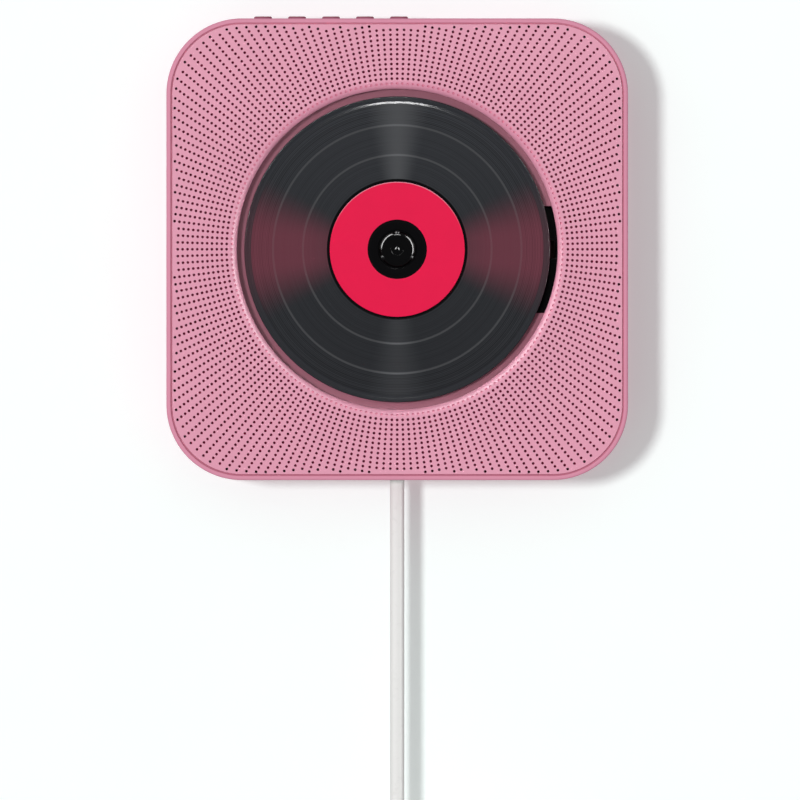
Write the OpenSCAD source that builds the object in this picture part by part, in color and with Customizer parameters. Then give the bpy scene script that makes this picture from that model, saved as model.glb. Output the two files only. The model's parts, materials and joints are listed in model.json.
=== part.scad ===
// Wall mounted disc player: a square perforated front with an open disc well, hung on a wall
// bracket, and switched by pulling the lead that hangs from its lower edge.
//
// The origin is on the wall, at the middle of the bracket's four screw holes. X runs to the
// right, Z up, and Y into the wall. Most pieces are drawn "face on": x right, y up and z out
// from the wall, and face_on() stands them up.

/* [Body] */
// Width and height of the square body
body_size = 181; // [178:1:190]
// Depth of the body from its back to its front face
body_depth = 41; // [40:0.5:46]
// Corner radius of the body, seen from the front
corner_r = 29.5; // [27:0.5:33]
// Gap between the wall and the body's back
wall_gap = 1; // [0.5:0.5:2]
// Thickness of the case's side wall
case_wall = 2; // [1.6:0.1:2.6]
// Rounding of the case's front and back edges
edge_round = 1.2; // [0.6:0.1:1.5]
// Width of the ledges inside the case that the front and the rear cover sit on
ledge_w = 2; // [1.5:0.5:2.5]
// Thickness of those ledges
ledge_t = 2.5; // [2:0.5:3.5]
// Thickness of the rear cover
rear_t = 2; // [1.8:0.1:2.4]

/* [Perforated front] */
// Thickness of the front
front_t = 2; // [1.6:0.1:2.4]
// Width of the groove between the front and the case's rim
groove = 0.4; // [0.2:0.1:0.8]
// Rounding of the front's outer edge
front_round = 0.6; // [0.3:0.1:0.8]
// Diameter of one hole
hole_d = 1; // [0.8:0.1:1.3]
// Radius of the innermost whole ring of holes
first_ring_r = 66.9; // [66.9:0.1:68]
// Distance from one ring of holes to the next
ring_pitch = 3.83; // [3.5:0.01:6]
// Number of holes in a whole ring
ring_holes = 100; // [60:4:120]
// Width of the plain band inside the front's outer edge
plain_band = 2.4; // [2:0.1:6]
// Thickness of the dust cloth behind the holes
cloth_t = 0.3; // [0.2:0.1:0.5]

/* [Disc and well] */
// Diameter of the disc
disc_d = 120; // [119:0.5:121]
// Thickness of the disc
disc_t = 1.2; // [1.1:0.1:1.5]
// Diameter of the disc's centre hole
disc_bore = 15; // [14.9:0.1:15.4]
// Outer diameter of the disc's label
label_d = 53; // [40:1:70]
// Inner diameter of the disc's label
label_bore = 23.2; // [20:0.2:30]
// Space between the disc's rim and the wall of the well
well_gap = 2.9; // [2:0.1:3.5]
// Radius of the rolled lip where the front turns into the well
lip_r = 3.2; // [2.5:0.1:3.6]
// Depth of the disc's face behind the front
disc_recess = 3.5; // [3:0.1:4.5]
// Space between the disc's back and the floor of the well
floor_gap = 3.3; // [3:0.1:4]
// Thickness of the well's floor
floor_t = 1.6; // [1.2:0.1:2]
// Thickness of the well's wall
well_wall = 2; // [1.6:0.1:2.4]
// Height of the deck opening in the floor
opening_h = 42; // [40:1:44]
// How far the middle of the deck opening lies below the disc's axis
opening_drop = 4; // [3:0.5:5]
// Reach of the deck opening to the left of the disc's axis
opening_left = 24; // [20:1:26]

/* [Hub] */
// Diameter of the hub's nose, which goes through the disc
nose_d = 13.7; // [13:0.1:14.2]
// Height of the nose in front of the disc's seat
nose_h = 3; // [2.6:0.1:3.4]
// Diameter of the flange that the disc sits on
flange_d = 30; // [26:1:32]
// Thickness of that flange
flange_t = 1.3; // [1:0.1:1.6]
// Diameter of one spring ball
ball_d = 2.5; // [2:0.1:2.8]
// Diameter of the spindle motor
spindle_motor_d = 24; // [20:0.5:24.5]
// Length of the spindle motor
spindle_motor_h = 12; // [9:0.5:13]
// Diameter of the spindle motor's shaft
shaft_d = 2; // [1.5:0.1:2.5]

/* [Deck] */
// Thickness of the black deck cover
cover_t = 1.5; // [1.2:0.1:1.8]
// Height of the slot that the lens looks through
lens_slot_h = 7; // [6.8:0.1:8]
// Distance of the lens from the disc's axis when it is parked
lens_park = 24; // [23.5:0.1:25]
// Travel of the pickup sled
sled_travel = 35; // [30:1:35]
// Diameter of the lens holder
holder_d = 6; // [5:0.1:6]
// Diameter of the two guide rods
rod_d = 3; // [2:0.1:3.2]
// Distance between the two guide rods
rod_spacing = 34; // [32:1:36]
// Thickness of the deck's base plate
base_t = 2; // [1.6:0.1:2.4]
// Height of the deck's base plate above the rear cover
base_rise = 10; // [9.6:0.1:11]
// Tooth module of the feed gears
tooth_m = 0.8; // [0.7:0.1:0.8]
// Teeth of the feed motor's pinion, and of the small wheel that drives the rack
pinion_teeth = 10; // [10:1:11]
// Teeth of the large feed wheel
wheel_teeth = 26; // [22:1:27]
// Diameter of the feed motor
feed_motor_d = 16; // [12:0.5:17]

/* [Buttons] */
// Diameter of a button
button_d = 7; // [6:0.1:8]
// Distance from one button to the next
button_pitch = 13.35; // [11:0.05:14]
// Position of the first button, right of the middle
first_button_x = -52.7; // [-56:0.1:-46]
// Height of a button above the top of the case
button_rise = 1; // [0.8:0.1:1.6]
// Travel of a button
button_travel = 0.6; // [0.3:0.05:0.7]

/* [Loudspeakers] */
// Outside diameter of a loudspeaker
speaker_d = 40; // [36:0.5:41]
// Distance of a loudspeaker's axis from the case's side, and from its lower edge
speaker_inset = 28.5; // [27.5:0.1:29]
// Depth of a loudspeaker's frame
speaker_h = 10.5; // [9.5:0.5:12]
// Diameter of a loudspeaker's magnet
magnet_d = 22; // [20:0.5:24]
// Height of a loudspeaker's magnet
magnet_h = 8; // [6:0.5:9]
// Travel of a loudspeaker's cone each way
cone_travel = 0.8; // [0.4:0.1:0.9]

/* [Wall bracket] */
// Width of the bracket's plate
bracket_w = 90; // [86:1:100]
// Height of the bracket's plate
bracket_h = 50; // [46:1:52]
// Thickness of the bracket's plate
bracket_t = 1.6; // [1.2:0.1:2]
// Diameter of a screw hole
screw_hole_d = 4.4; // [3.5:0.1:5]
// Distance between the screw holes sideways
screw_gap_x = 72; // [66:1:76]
// Distance between the screw holes upwards
screw_gap_z = 32; // [28:1:36]
// Width of a hook
hook_w = 10; // [6:1:12]
// Thickness of a hook's neck
hook_t = 2; // [1.5:0.1:2.5]
// Height of a hook's lip above its neck
hook_lip = 5; // [4:0.5:5.5]
// How far the player is lifted to come off the hooks
lift_travel = 7; // [6.5:0.1:7.5]

/* [Pull switch and lead] */
// Diameter of the lead
lead_d = 5.6; // [5:0.1:6]
// Travel of the pull switch
pull_travel = 6; // [4:0.5:7]
// Distance of the lead's axis behind the front
lead_behind = 21; // [19:0.5:22]
// Wire diameter of the return spring
spring_wire = 1; // [0.8:0.1:1.2]
// Turns of the return spring
spring_turns = 4; // [3:1:5]
// Middle diameter of the lead's coil
coil_d = 62; // [60:1:66]
// Number of turns in the coil
coil_turns = 7; // [5:1:8]

/* [Hidden] */
$fn = 64;

// Clearances
slide_gap = 0.3;     // between a moving piece and what it slides in
bearing_gap = 0.05;  // round a shaft or a rod
seat_gap = 0.05;     // round a piece that is pressed or glued in place
screw_gap = 0.4;     // round a screw's shank in its through hole
cut = 1;             // how far a cutting shape runs past the surface it cuts
lap = 0.2;           // how far two shapes of one piece run into each other

// Levels out from the wall
back_z = wall_gap;
front_z = back_z + body_depth;
front_back_z = front_z - front_t;
inside_z = back_z + rear_t;
disc_front_z = front_z - disc_recess;
disc_back_z = disc_front_z - disc_t;
floor_z = disc_back_z - floor_gap;
floor_back_z = floor_z - floor_t;
cloth_z = front_back_z - cloth_t;
well_seam_z = floor_z + 3;

// The case and the front, seen from the front
body_half = body_size / 2;
case_in = body_half - case_wall;
front_half = case_in - groove;
front_corner_r = corner_r - case_wall - groove;
front_band = 2;          // plain edge of the front, swept round it
rear_gap = 0.2;
rear_half = case_in - rear_gap;
rear_corner_r = corner_r - case_wall - rear_gap;
cloth_gap = 0.2;
cloth_inset = case_wall + ledge_w + 0.3;
cloth_half = body_half - cloth_inset;
cloth_corner_r = corner_r - cloth_inset;
well_r = disc_d / 2 + well_gap;
lip_out_r = well_r + lip_r;
hole_half = front_half - plain_band;
hole_corner_r = front_corner_r - plain_band;

// Bosses of the front: four for the case's screws, three for the well's
boss_d = 7;
boss_inset = 12.5;
boss_x = body_half - boss_inset;
boss_y = 30;
case_screw_len = 10;
case_pilot_len = 12;
case_bosses = [for (sx = [-1, 1], sy = [-1, 1]) [sx * boss_x, sy * boss_y]];
pan_boss_d = 6;
pan_boss_r = well_r + well_wall + 6.1;
pan_boss_angles = [10, 130, 250];
pan_ear_t = 2;
pan_ear_z = well_seam_z - 0.6 - pan_ear_t;
pan_screw_len = 4.5;
pan_pilot_rest = 0.6;    // solid left in front of the pan bosses' pilot holes
pilot_d = 2.3;
thread_d = 2.2;
head_h = 1.2;
head_d = 5.2;
cross_len = 2.6;
cross_w = 0.6;
cross_depth = 0.6;

// Rear cover: the pocket over the bracket, and its slots for the hooks
pocket_gap = 1;
pocket_wall = 2;
pocket_floor_z = 3.6;
pocket_floor_t = 2;
pocket_top = bracket_h / 2 + pocket_gap;
pocket_bottom = -bracket_h / 2 - lift_travel - pocket_gap;
hook_x = 20;
hook_tops = [10, -14];
hook_end_z = pocket_floor_z + pocket_floor_t + 0.5;
slot_h = hook_t + lift_travel + 1.5;
pad_d = 10;
pad_back_z = 0.2 * wall_gap;
pad_off = 66;

// Deck
opening_y0 = -opening_drop - opening_h / 2;
opening_y1 = -opening_drop + opening_h / 2;
cover_gap = 0.2;
cover_top_z = floor_back_z - cover_gap;
cover_z = cover_top_z - cover_t;
cover_lap = 1.2;
base_z = inside_z + base_rise;
base_top_z = base_z + base_t;
deck_left = -opening_left - 2;
lens_far = lens_park + sled_travel;
sled_back = 11;
sled_front = 9;
deck_wall_t = 2.5;
deck_right = lens_far + sled_front + 1.5 + deck_wall_t;
sled_top_z = cover_z - 0.4;
rod_z = sled_top_z - 5.3;
rod_y1 = -opening_drop + rod_spacing / 2;
rod_y2 = -opening_drop - rod_spacing / 2;
rod_seat_x = 8.5;
rod_seat_t = 2;
rod_seat_w = rod_d + 2;
rod_seat_over = 1;
rod_left = rod_seat_x + 0.4;
rod_right = deck_right - 1;

// The posts under the well's floor that carry the deck on its dampers
post_d = 6;
post_pin_d = 4;
post_left = -20;
post_right = 50;
post_gap = 0.4;
damper_d = 12;
tower_wall = 2;
tower_half = spindle_motor_d / 2 + 1 + tower_wall;
post_up = max(opening_y1 + cover_lap + post_d / 2, tower_half + damper_d / 2) + post_gap;
post_low = opening_y0 - 6;
posts = [for (x = [post_left, post_right], y = [post_low, post_up]) [x, y]];
post_pilot_len = 11;
damper_waist_d = 8.2;
damper_play = 0.2;
damper_flange = 2.5;
damper_z = base_z - damper_flange;
damper_top_z = base_top_z + damper_flange;
deck_screw_head_d = 8;
deck_screw_len = 9;

// Pickup sled and lens
sled_z = rod_z - 5;
sled_y0 = rod_y2 - 3;
sled_y1 = rod_y1 + 3.5;
sled_hollows = [-13, 7];
hollow_floor_t = 2.5;
rod_slot_play = 0.3;
holder_top_z = disc_back_z - 2.4;
holder_h = 8.4;
lens_d = 4.2;
lens_seat = 0.6;

// Feed gears: the rack hangs on the sled, and the compound wheel turns below it
pressure_angle = 25;
tooth_add = 0.85;        // tooth height above the pitch circle, in modules
tooth_ded = 1.15;        // tooth depth below the pitch circle, in modules
backlash = 0.16;         // tooth thickness taken off at the pitch line
pinion_r = pinion_teeth * tooth_m / 2;
wheel_r = wheel_teeth * tooth_m / 2;
rack_back_t = 1;
rack_pitch_y = sled_y0 - rack_back_t - tooth_ded * tooth_m;
rack_z = sled_z + 1;
rack_h = 3;
rack_back = sled_back + 27;
gear_x = lens_park + 2;
gear_y = rack_pitch_y - pinion_r;
gear_z = base_top_z + 0.5;
gear_h = 2;
gear_pin_d = 2;
feed_motor_angle = -70;
feed_motor_r = pinion_r + wheel_r;
feed_motor_x = gear_x + feed_motor_r * cos(feed_motor_angle);
feed_motor_y = gear_y + feed_motor_r * sin(feed_motor_angle);
feed_motor_h = 6.5;
feed_shaft_d = 1.6;

// Disc: fine lines between its bands of grooves, as shares of the way from the label to the rim
ring_lines = [0.37, 0.707, 0.933];
ring_line = 0.3;
ring_depth = 0.08;
label_t = 0.1;

// Spindle
flange_z = disc_back_z - flange_t;
hub_boss_d = 10;
hub_boss_h = 3;
shaft_z = base_z - 0.5;
shelf_t = 2;
shelf_z = base_z - 1 + spindle_motor_h;
tower_right = 8;
ball_out_r = disc_bore / 2 - 0.05;
ball_r = ball_out_r - ball_d / 2;
ball_z = disc_front_z + 0.5;
ball_angles = [90, 210, 330];
nose_bevel = 0.8;
dimple_d = 8;
dimple_depth = 0.6;

// Buttons: the stack runs down from the top of the case
board_t = 1.6;
button_out = 22;
button_round = 0.6;
button_rib_inset = 4;
button_rib_t = 2;
button_rib_top_z = inside_z + 7;
function button_x(i) = first_button_x + i * button_pitch;
button_top = body_half + button_rise;
button_flange_y = case_in - slide_gap;
button_flange_t = 1.2;
button_flange_d = button_d + 2.2;
button_stem_d = 3;
switch_size = 6;
switch_h = 3.4;
plunger_d = 3.4;
plunger_h = 0.8;
button_board_y = case_in - 12;
plunger_y = button_board_y + board_t + switch_h + plunger_h;
button_stem_y = plunger_y + button_travel + 0.05;
button_board_x0 = button_x(0) - 7.5;
button_board_x1 = button_x(4) + 7.5;
button_rib_x = [button_board_x0 + button_rib_inset, button_board_x1 - button_rib_inset - button_rib_t];
button_board_top_z = button_out + 7;

// Main board, with its chips as middle, size and height from the board's middle
main_board_z = inside_z + 7;
main_board_half = case_in - 30.5;
main_board_y0 = 31;
main_board_y1 = button_board_y - 3.5;
board_boss_d = 6;
board_boss_inset = 5;
board_bosses = [
    for (sx = [-1, 1], y = [main_board_y0 + board_boss_inset, main_board_y1 - board_boss_inset])
        [sx * (main_board_half - board_boss_inset), y]
];
board_screw_len = 5;
chips = [
    [-6, 2, 14, 14, 1.6], [-30, 8, 9, 9, 1.4], [10, 10, 10, 6, 1.4],
    [14, -8, 12, 5, 1.6], [-28, -10, 10, 5, 1.6]
];
capacitor_d = 5;
capacitor_h = 8;
capacitor_pitch = [7, 8];
capacitor_inset = 25;

// Power board: low in the case, with the transformer on it and vents behind it
power_board_z = inside_z + 4;
power_board = [[-44, -case_in + 6.5], [-16, pocket_bottom - pocket_wall - 5]];
power_boss_inset = [4, 4];
power_bosses = [power_board[0] + power_boss_inset, power_board[1] - power_boss_inset];
power_screw_len = 4;
transformer_size = [20, 22, 16];
transformer_core = [12, 9];
transformer_place = power_board[0] + [1, 8];
vent_pitch = 5;
vent_h = 2;
vent_len = 30;
vent_y = power_board[0][1] + 8;
vents = floor((power_board[1][1] - 8 - vent_y) / vent_pitch);

// Loudspeakers
speaker_off = body_half - speaker_inset;
speaker_r = speaker_d / 2;
speaker_rim = 2.5;
speaker_rim_t = 4.2;
speaker_z = cloth_z - speaker_h;
speaker_back_t = 1.2;
coil_r = 6.9;
pole_r = 5.6;
cone_r = speaker_r - speaker_rim - slide_gap;
cone_t = 0.5;
roll_r = 1.1;
cone_edge_z = cloth_z - cone_travel - cone_t - roll_r - 0.3;
cone_neck_z = speaker_z + 4;

// Pull switch, at the middle of the lower edge
lead_out = front_z - lead_behind;
guide_wall = 2;
slider_w = 17.4;
slider_depth = 17;
slider_len = 14;
guide_half = slider_w / 2 + slide_gap;
spring_seat_y = -case_in + 4;
spring_seat_t = 2;
spring_pressed = spring_wire * (spring_turns + 2) + 0.5; // height left for the pressed spring
slider_y = spring_seat_y + spring_seat_t + pull_travel + spring_pressed;
slider_top_y = slider_y + slider_len;
relief_end_y = -body_half + 0.5;
relief_len = slider_y - relief_end_y;
guide_top_y = slider_top_y + slide_gap;
guide_top_z = lead_out + slider_depth / 2 + 1.5;
relief_top_d = lead_d + 3.6;
relief_end_d = lead_d + 1.2;
bushing_hole_d = relief_end_d + 2;
bushing_d = bushing_hole_d + 2.4;
spring_d = 13.2;
spring_rings = 12;
spring_path = [
    for (i = [0:spring_turns * spring_rings])
        let (
            a = 360 / spring_rings * i,
            low = spring_seat_y + spring_seat_t + spring_wire / 2 + 0.1,
            high = slider_y - spring_wire / 2 - 0.1
        )
        [spring_d / 2 * cos(a), -lead_out + spring_d / 2 * sin(a),
         low + (high - low) * i / (spring_turns * spring_rings)]
];
contact_gap = 0.3;
contact_d = 7;
contact_half = 5;
feeler_half = 2;

// Line-out jack, on the lower edge
jack_x = 34;
jack_out = 14;
jack_d = 8;
jack_bore = 3.6;
jack_len = 14;
jack_nose_d = 6;

// Route of the lead's free stretch, and its coil
lead_route = [
    [0, -21, -90], [0, -21, -102], [0, -21, -114], [0, -21, -126], [0, -21, -138],
    [0, -21, -150], [0, -21, -162], [0, -21, -174], [0, -21, -186], [0, -21, -198],
    [0, -21, -210], [0, -21, -222], [0, -21, -234], [0, -21, -246], [0, -21, -258]
];
lead_sides = 8;
coil_sides = 6;
coil_rings = 24;
coil_pitch = 6.15;
coil_layers = 4;
coil_spread = coil_pitch * coil_turns / coil_layers;
coil_out_r = coil_d / 2 + coil_spread / 2;
coil_in_r = coil_d / 2 - coil_spread / 2;
lead_end = lead_route[len(lead_route) - 1];
coil_x = lead_end[0] + coil_out_r;
coil_z = lead_end[2] - 6;
tie_w = 8;
tie_t = 1;
tie_gap = 0.3;

// Plug
plug_y = lead_end[1] - coil_pitch * (coil_layers - 1);
plug_top_z = coil_z - 6;
plug_relief = 20;
plug_relief_d = 9;
plug_len = 30;
plug_w = 35;
plug_t = 13.7;
plug_face_w = 26;
plug_wide_from = 11;
plug_wide_to = 20;
pin_d = 4;
pin_len = 19;
pin_root = 6;
pin_gap = 18.6;

// Middle line of the coil: into it, round it layer by layer, and down to the plug
coil_path = concat(
    [lead_end],
    [for (i = [0:coil_turns * coil_rings])
        let (t = i / coil_rings, a = 180 + 360 * t, r = coil_radius(t))
        [coil_x + r * cos(a), lead_end[1] - coil_pitch * coil_layer(t), coil_z + r * sin(a)]],
    [[lead_end[0], plug_y, plug_top_z]]
);

// The least distance between two stretches of the coil that lie over half a turn apart
coil_gap = min([
    for (i = [0:len(coil_path) - 1], j = [i + coil_rings / 2:len(coil_path) - 1])
        norm(coil_path[i] - coil_path[j])
]) - lead_d;
echo(coil_gap = coil_gap);

// ---------------------------------------------------------------- helpers

// Stands up what is drawn face on, with z out from the wall.
module face_on() {
    rotate([90, 0, 0]) children();
}

// A square with round corners, about the middle.
module rounded_square(half, r) {
    square([2 * half, 2 * (half - r)], center = true);
    square([2 * (half - r), 2 * half], center = true);
    for (sx = [-1, 1], sy = [-1, 1])
        translate([sx * (half - r), sy * (half - r)]) circle(r);
}

// Sweeps a profile round a square with round corners. The profile's x is the distance
// from the corner's centre, and its y is the distance from the wall.
module swept_ring(half, r) {
    for (turn = [0:90:270])
        rotate(turn) translate([half - r, half - r]) {
            rotate_extrude(angle = 90) children();
            rotate([90, 0, 0]) linear_extrude(2 * (half - r)) children();
        }
}

// A cylinder along the face-on y, from y0 to y1.
module upright(d, y0, y1) {
    translate([0, y0, 0]) rotate([-90, 0, 0]) cylinder(d = d, h = y1 - y0);
}

// A cylinder along the face-on z, from z0 to z1.
module outward(d, z0, z1) {
    translate([0, 0, z0]) cylinder(d = d, h = z1 - z0);
}

// A box given by its two corners.
module box(a, b) {
    translate(a) cube(b - a);
}

// A pan head screw, with its head's outer face at z0 and its tip further from the wall.
module screw(z0, len, d = head_d, h = head_h) {
    difference() {
        outward(d, z0, z0 + h);
        for (turn = [0, 90]) rotate(turn)
            box([-cross_len / 2, -cross_w / 2, z0 - cut], [cross_len / 2, cross_w / 2, z0 + cross_depth]);
    }
    outward(thread_d, z0 + h, z0 + h + len);
}

// Whether a hole's centre lies inside the field of holes.
function in_field(x, y) =
    let (
        qx = abs(x) - (hole_half - hole_corner_r),
        qy = abs(y) - (hole_half - hole_corner_r)
    )
    qx <= 0 ? qy <= hole_corner_r :
    qy <= 0 ? qx <= hole_corner_r :
    norm([qx, qy]) <= hole_corner_r;

// Involute of a base circle: the point at radius r, and its turn from the start.
function involute_turn(base, r) =
    r <= base ? 0 : let (t = sqrt(pow(r / base, 2) - 1)) t * 180 / PI - atan(t);

// One gear tooth's half width, as an angle, at radius r.
function tooth_half(teeth, r) =
    let (
        pitch_r = teeth * tooth_m / 2,
        base = pitch_r * cos(pressure_angle),
        at_pitch = 90 / teeth - backlash / 2 / pitch_r * 180 / PI
    )
    at_pitch + involute_turn(base, pitch_r) - involute_turn(base, max(r, base));

// Outline of a spur gear, with one tooth's middle on the x axis.
module gear_outline(teeth) {
    pitch_r = teeth * tooth_m / 2;
    root_r = pitch_r - tooth_ded * tooth_m;
    tip_r = pitch_r + tooth_add * tooth_m;
    steps = 4;
    radii = [for (i = [0:steps]) root_r + (tip_r - root_r) * i / steps];
    polygon([
        for (tooth = [0:teeth - 1])
            let (middle = tooth * 360 / teeth)
            each concat(
                [for (r = radii) let (a = middle - tooth_half(teeth, r)) r * [cos(a), sin(a)]],
                [for (i = [steps:-1:0])
                    let (r = radii[i], a = middle + tooth_half(teeth, r)) r * [cos(a), sin(a)]]
            )
    ]);
}

// Rings of points round a path, one ring for each point of it, square to the path.
function along(path, i) =
    let (d = path[min(i + 1, len(path) - 1)] - path[max(i - 1, 0)]) d / norm(d);
function ring(path, i, r, sides, side_axis) =
    let (
        t = along(path, i),
        u = cross(t, side_axis) / norm(cross(t, side_axis)),
        v = cross(t, u)
    )
    [for (k = [0:sides - 1]) path[i] + r * (cos(360 * k / sides) * u + sin(360 * k / sides) * v)];

// A tube along a path. side_axis is a direction that the path never runs along.
module tube(path, d, sides, side_axis) {
    count = len(path);
    points = [for (i = [0:count - 1]) each ring(path, i, d / 2, sides, side_axis)];
    walls = [
        for (i = [0:count - 2], k = [0:sides - 1])
            let (a = i * sides + k, b = i * sides + (k + 1) % sides)
            each [[a, b, b + sides], [a, b + sides, a + sides]]
    ];
    last = (count - 1) * sides;
    ends = [
        for (k = [1:sides - 2])
            each [[0, k + 1, k], [last, last + k, last + k + 1]]
    ];
    polyhedron(points, concat(walls, ends), convexity = 10);
}

// ---------------------------------------------------------------- wall bracket

module hook(top) {
    box([-hook_w / 2, top - hook_t, bracket_t - lap], [hook_w / 2, top, hook_end_z + hook_t]);
    box([-hook_w / 2, top - hook_t, hook_end_z], [hook_w / 2, top + hook_lip, hook_end_z + hook_t]);
}

module wall_bracket() {
    color("silver") face_on() {
        difference() {
            box([-bracket_w / 2, -bracket_h / 2, 0], [bracket_w / 2, bracket_h / 2, bracket_t]);
            for (sx = [-1, 1], sy = [-1, 1])
                translate([sx * screw_gap_x / 2, sy * screw_gap_z / 2])
                    outward(screw_hole_d, -cut, bracket_t + cut);
            // windows that the hooks were pressed out of
            for (sx = [-1, 1], top = hook_tops)
                translate([sx * hook_x, top])
                    box([-hook_w / 2, 0.01, -cut], [hook_w / 2, hook_lip, bracket_t + cut]);
        }
        for (sx = [-1, 1], top = hook_tops) translate([sx * hook_x, 0]) hook(top);
    }
}

// ---------------------------------------------------------------- case

module case_profile() {
    r = corner_r;
    intersection() {
        translate([r - case_wall, back_z]) square([case_wall, body_depth]);
        union() {
            translate([r - case_wall, back_z]) square([case_wall - edge_round, body_depth]);
            translate([r - case_wall, back_z + edge_round])
                square([case_wall, body_depth - 2 * edge_round]);
            for (z = [back_z + edge_round, front_z - edge_round])
                translate([r - edge_round, z]) circle(edge_round);
        }
    }
    for (z = [inside_z, front_back_z - ledge_t])
        translate([r - case_wall - ledge_w, z]) square([ledge_w + lap, ledge_t]);
}

module case_frame() {
    color("lightpink") face_on() difference() {
        swept_ring(body_half, corner_r) case_profile();
        for (i = [0:4])
            translate([button_x(i), 0, button_out])
                upright(button_d + 2 * slide_gap, case_in - cut, body_half + cut);
        translate([0, 0, lead_out])
            upright(bushing_d + 2 * seat_gap, -body_half - cut, -case_in + cut);
        translate([jack_x, 0, jack_out])
            upright(jack_nose_d + 2 * seat_gap, -body_half - cut, -case_in + cut);
    }
}

module rear_cover() {
    pocket_half = bracket_w / 2 + pocket_gap;
    color("pink") face_on() {
        difference() {
            union() {
                translate([0, 0, back_z]) linear_extrude(rear_t)
                    rounded_square(rear_half, rear_corner_r);
                box([-pocket_half - pocket_wall, pocket_bottom - pocket_wall, back_z],
                    [pocket_half + pocket_wall, pocket_top + pocket_wall, pocket_floor_z + pocket_floor_t]);
                for (p = board_bosses)
                    translate(p) outward(board_boss_d, back_z, main_board_z);
                // two ribs that hold the button board
                for (x = button_rib_x)
                    box([x, button_board_y - button_rib_t, back_z],
                        [x + button_rib_t, button_board_y, button_rib_top_z]);
                for (p = power_bosses)
                    translate(p) outward(board_boss_d, back_z, power_board_z);
            }
            box([-pocket_half, pocket_bottom, -cut], [pocket_half, pocket_top, pocket_floor_z]);
            for (sx = [-1, 1], top = hook_tops)
                box([sx * hook_x - hook_w / 2 - 1, top - slot_h, pocket_floor_z - cut],
                    [sx * hook_x + hook_w / 2 + 1, top, pocket_floor_z + pocket_floor_t + cut]);
            for (p = case_bosses) translate(p) {
                outward(head_d + screw_gap, -cut, back_z + head_h);
                outward(thread_d + 2 * screw_gap, -cut, inside_z + cut);
            }
            for (p = board_bosses) translate(p) outward(pilot_d, inside_z - 1, main_board_z + cut);
            for (p = power_bosses) translate(p) outward(pilot_d, inside_z - 1, power_board_z + cut);
            // vents behind the power board
            for (i = [0:vents - 1])
                translate([power_board[0][0], vent_y + i * vent_pitch, -cut])
                    cube([vent_len, vent_h, inside_z + 2 * cut]);
        }
    }
}

module wall_pads() {
    color("dimgray") face_on()
        for (sx = [-1, 1], sy = [-1, 1])
            translate([sx * pad_off, sy * pad_off]) outward(pad_d, pad_back_z, back_z);
}

module case_screws() {
    color("silver") face_on()
        for (p = case_bosses) translate(p) screw(back_z, case_screw_len);
}

// ---------------------------------------------------------------- perforated front

module hole_field() {
    rings = ceil((hole_half * sqrt(2) - first_ring_r) / ring_pitch);
    for (k = [0:rings], i = [0:ring_holes - 1]) {
        r = first_ring_r + k * ring_pitch;
        a = i * 360 / ring_holes;
        if (in_field(r * cos(a), r * sin(a)))
            translate([r * cos(a), r * sin(a)]) circle(d = hole_d, $fn = 16);
    }
}

// Half section of the lip and of the collar behind it.
module lip_profile() {
    translate([well_r, well_seam_z]) square([well_wall, front_z - lip_r - well_seam_z + lap]);
    intersection() {
        translate([lip_out_r, front_z - lip_r]) circle(lip_r);
        translate([well_r, front_z - lip_r]) square(lip_r);
    }
}

module front_edge_profile() {
    r = front_corner_r;
    translate([r - front_band, front_back_z]) square([front_band - front_round, front_t]);
    translate([r - front_round - lap, front_back_z]) square([front_round + lap, front_t - front_round]);
    translate([r - front_round, front_z - front_round]) circle(front_round);
}

module front_grille() {
    color("lightpink") face_on() {
        translate([0, 0, front_back_z]) linear_extrude(front_t) difference() {
            rounded_square(front_half - front_band, front_corner_r - front_band);
            circle(lip_out_r, $fn = 180);
            hole_field();
        }
        swept_ring(front_half, front_corner_r) front_edge_profile();
        rotate_extrude($fn = 180) lip_profile();
        difference() {
            for (p = case_bosses) translate(p) outward(boss_d, inside_z, front_back_z + lap);
            for (p = case_bosses) translate(p) outward(pilot_d, inside_z - cut, inside_z + case_pilot_len);
        }
        difference() {
            for (a = pan_boss_angles)
                rotate(a) translate([pan_boss_r, 0])
                    outward(pan_boss_d, pan_ear_z + pan_ear_t, front_back_z + lap);
            for (a = pan_boss_angles)
                rotate(a) translate([pan_boss_r, 0])
                    outward(pilot_d, pan_ear_z, front_back_z - pan_pilot_rest);
        }
    }
}

module dust_cloth() {
    color("maroon") face_on() translate([0, 0, cloth_z]) linear_extrude(cloth_t) difference() {
        rounded_square(cloth_half, cloth_corner_r);
        circle(lip_out_r + cloth_gap, $fn = 180);
        for (p = case_bosses) translate(p) circle(d = boss_d + 2 * cloth_gap);
        for (a = pan_boss_angles)
            rotate(a) translate([pan_boss_r, 0]) circle(d = pan_boss_d + 2 * cloth_gap);
    }
}

// ---------------------------------------------------------------- disc well

module pan_ear() {
    difference() {
        union() {
            translate([pan_boss_r, 0]) outward(pan_boss_d, pan_ear_z, pan_ear_z + pan_ear_t);
            box([well_r + well_wall / 2, -pan_boss_d / 2, pan_ear_z],
                [pan_boss_r, pan_boss_d / 2, pan_ear_z + pan_ear_t]);
        }
        translate([pan_boss_r, 0])
            outward(thread_d + 2 * screw_gap, pan_ear_z - cut, pan_ear_z + pan_ear_t + cut);
    }
}

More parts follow.
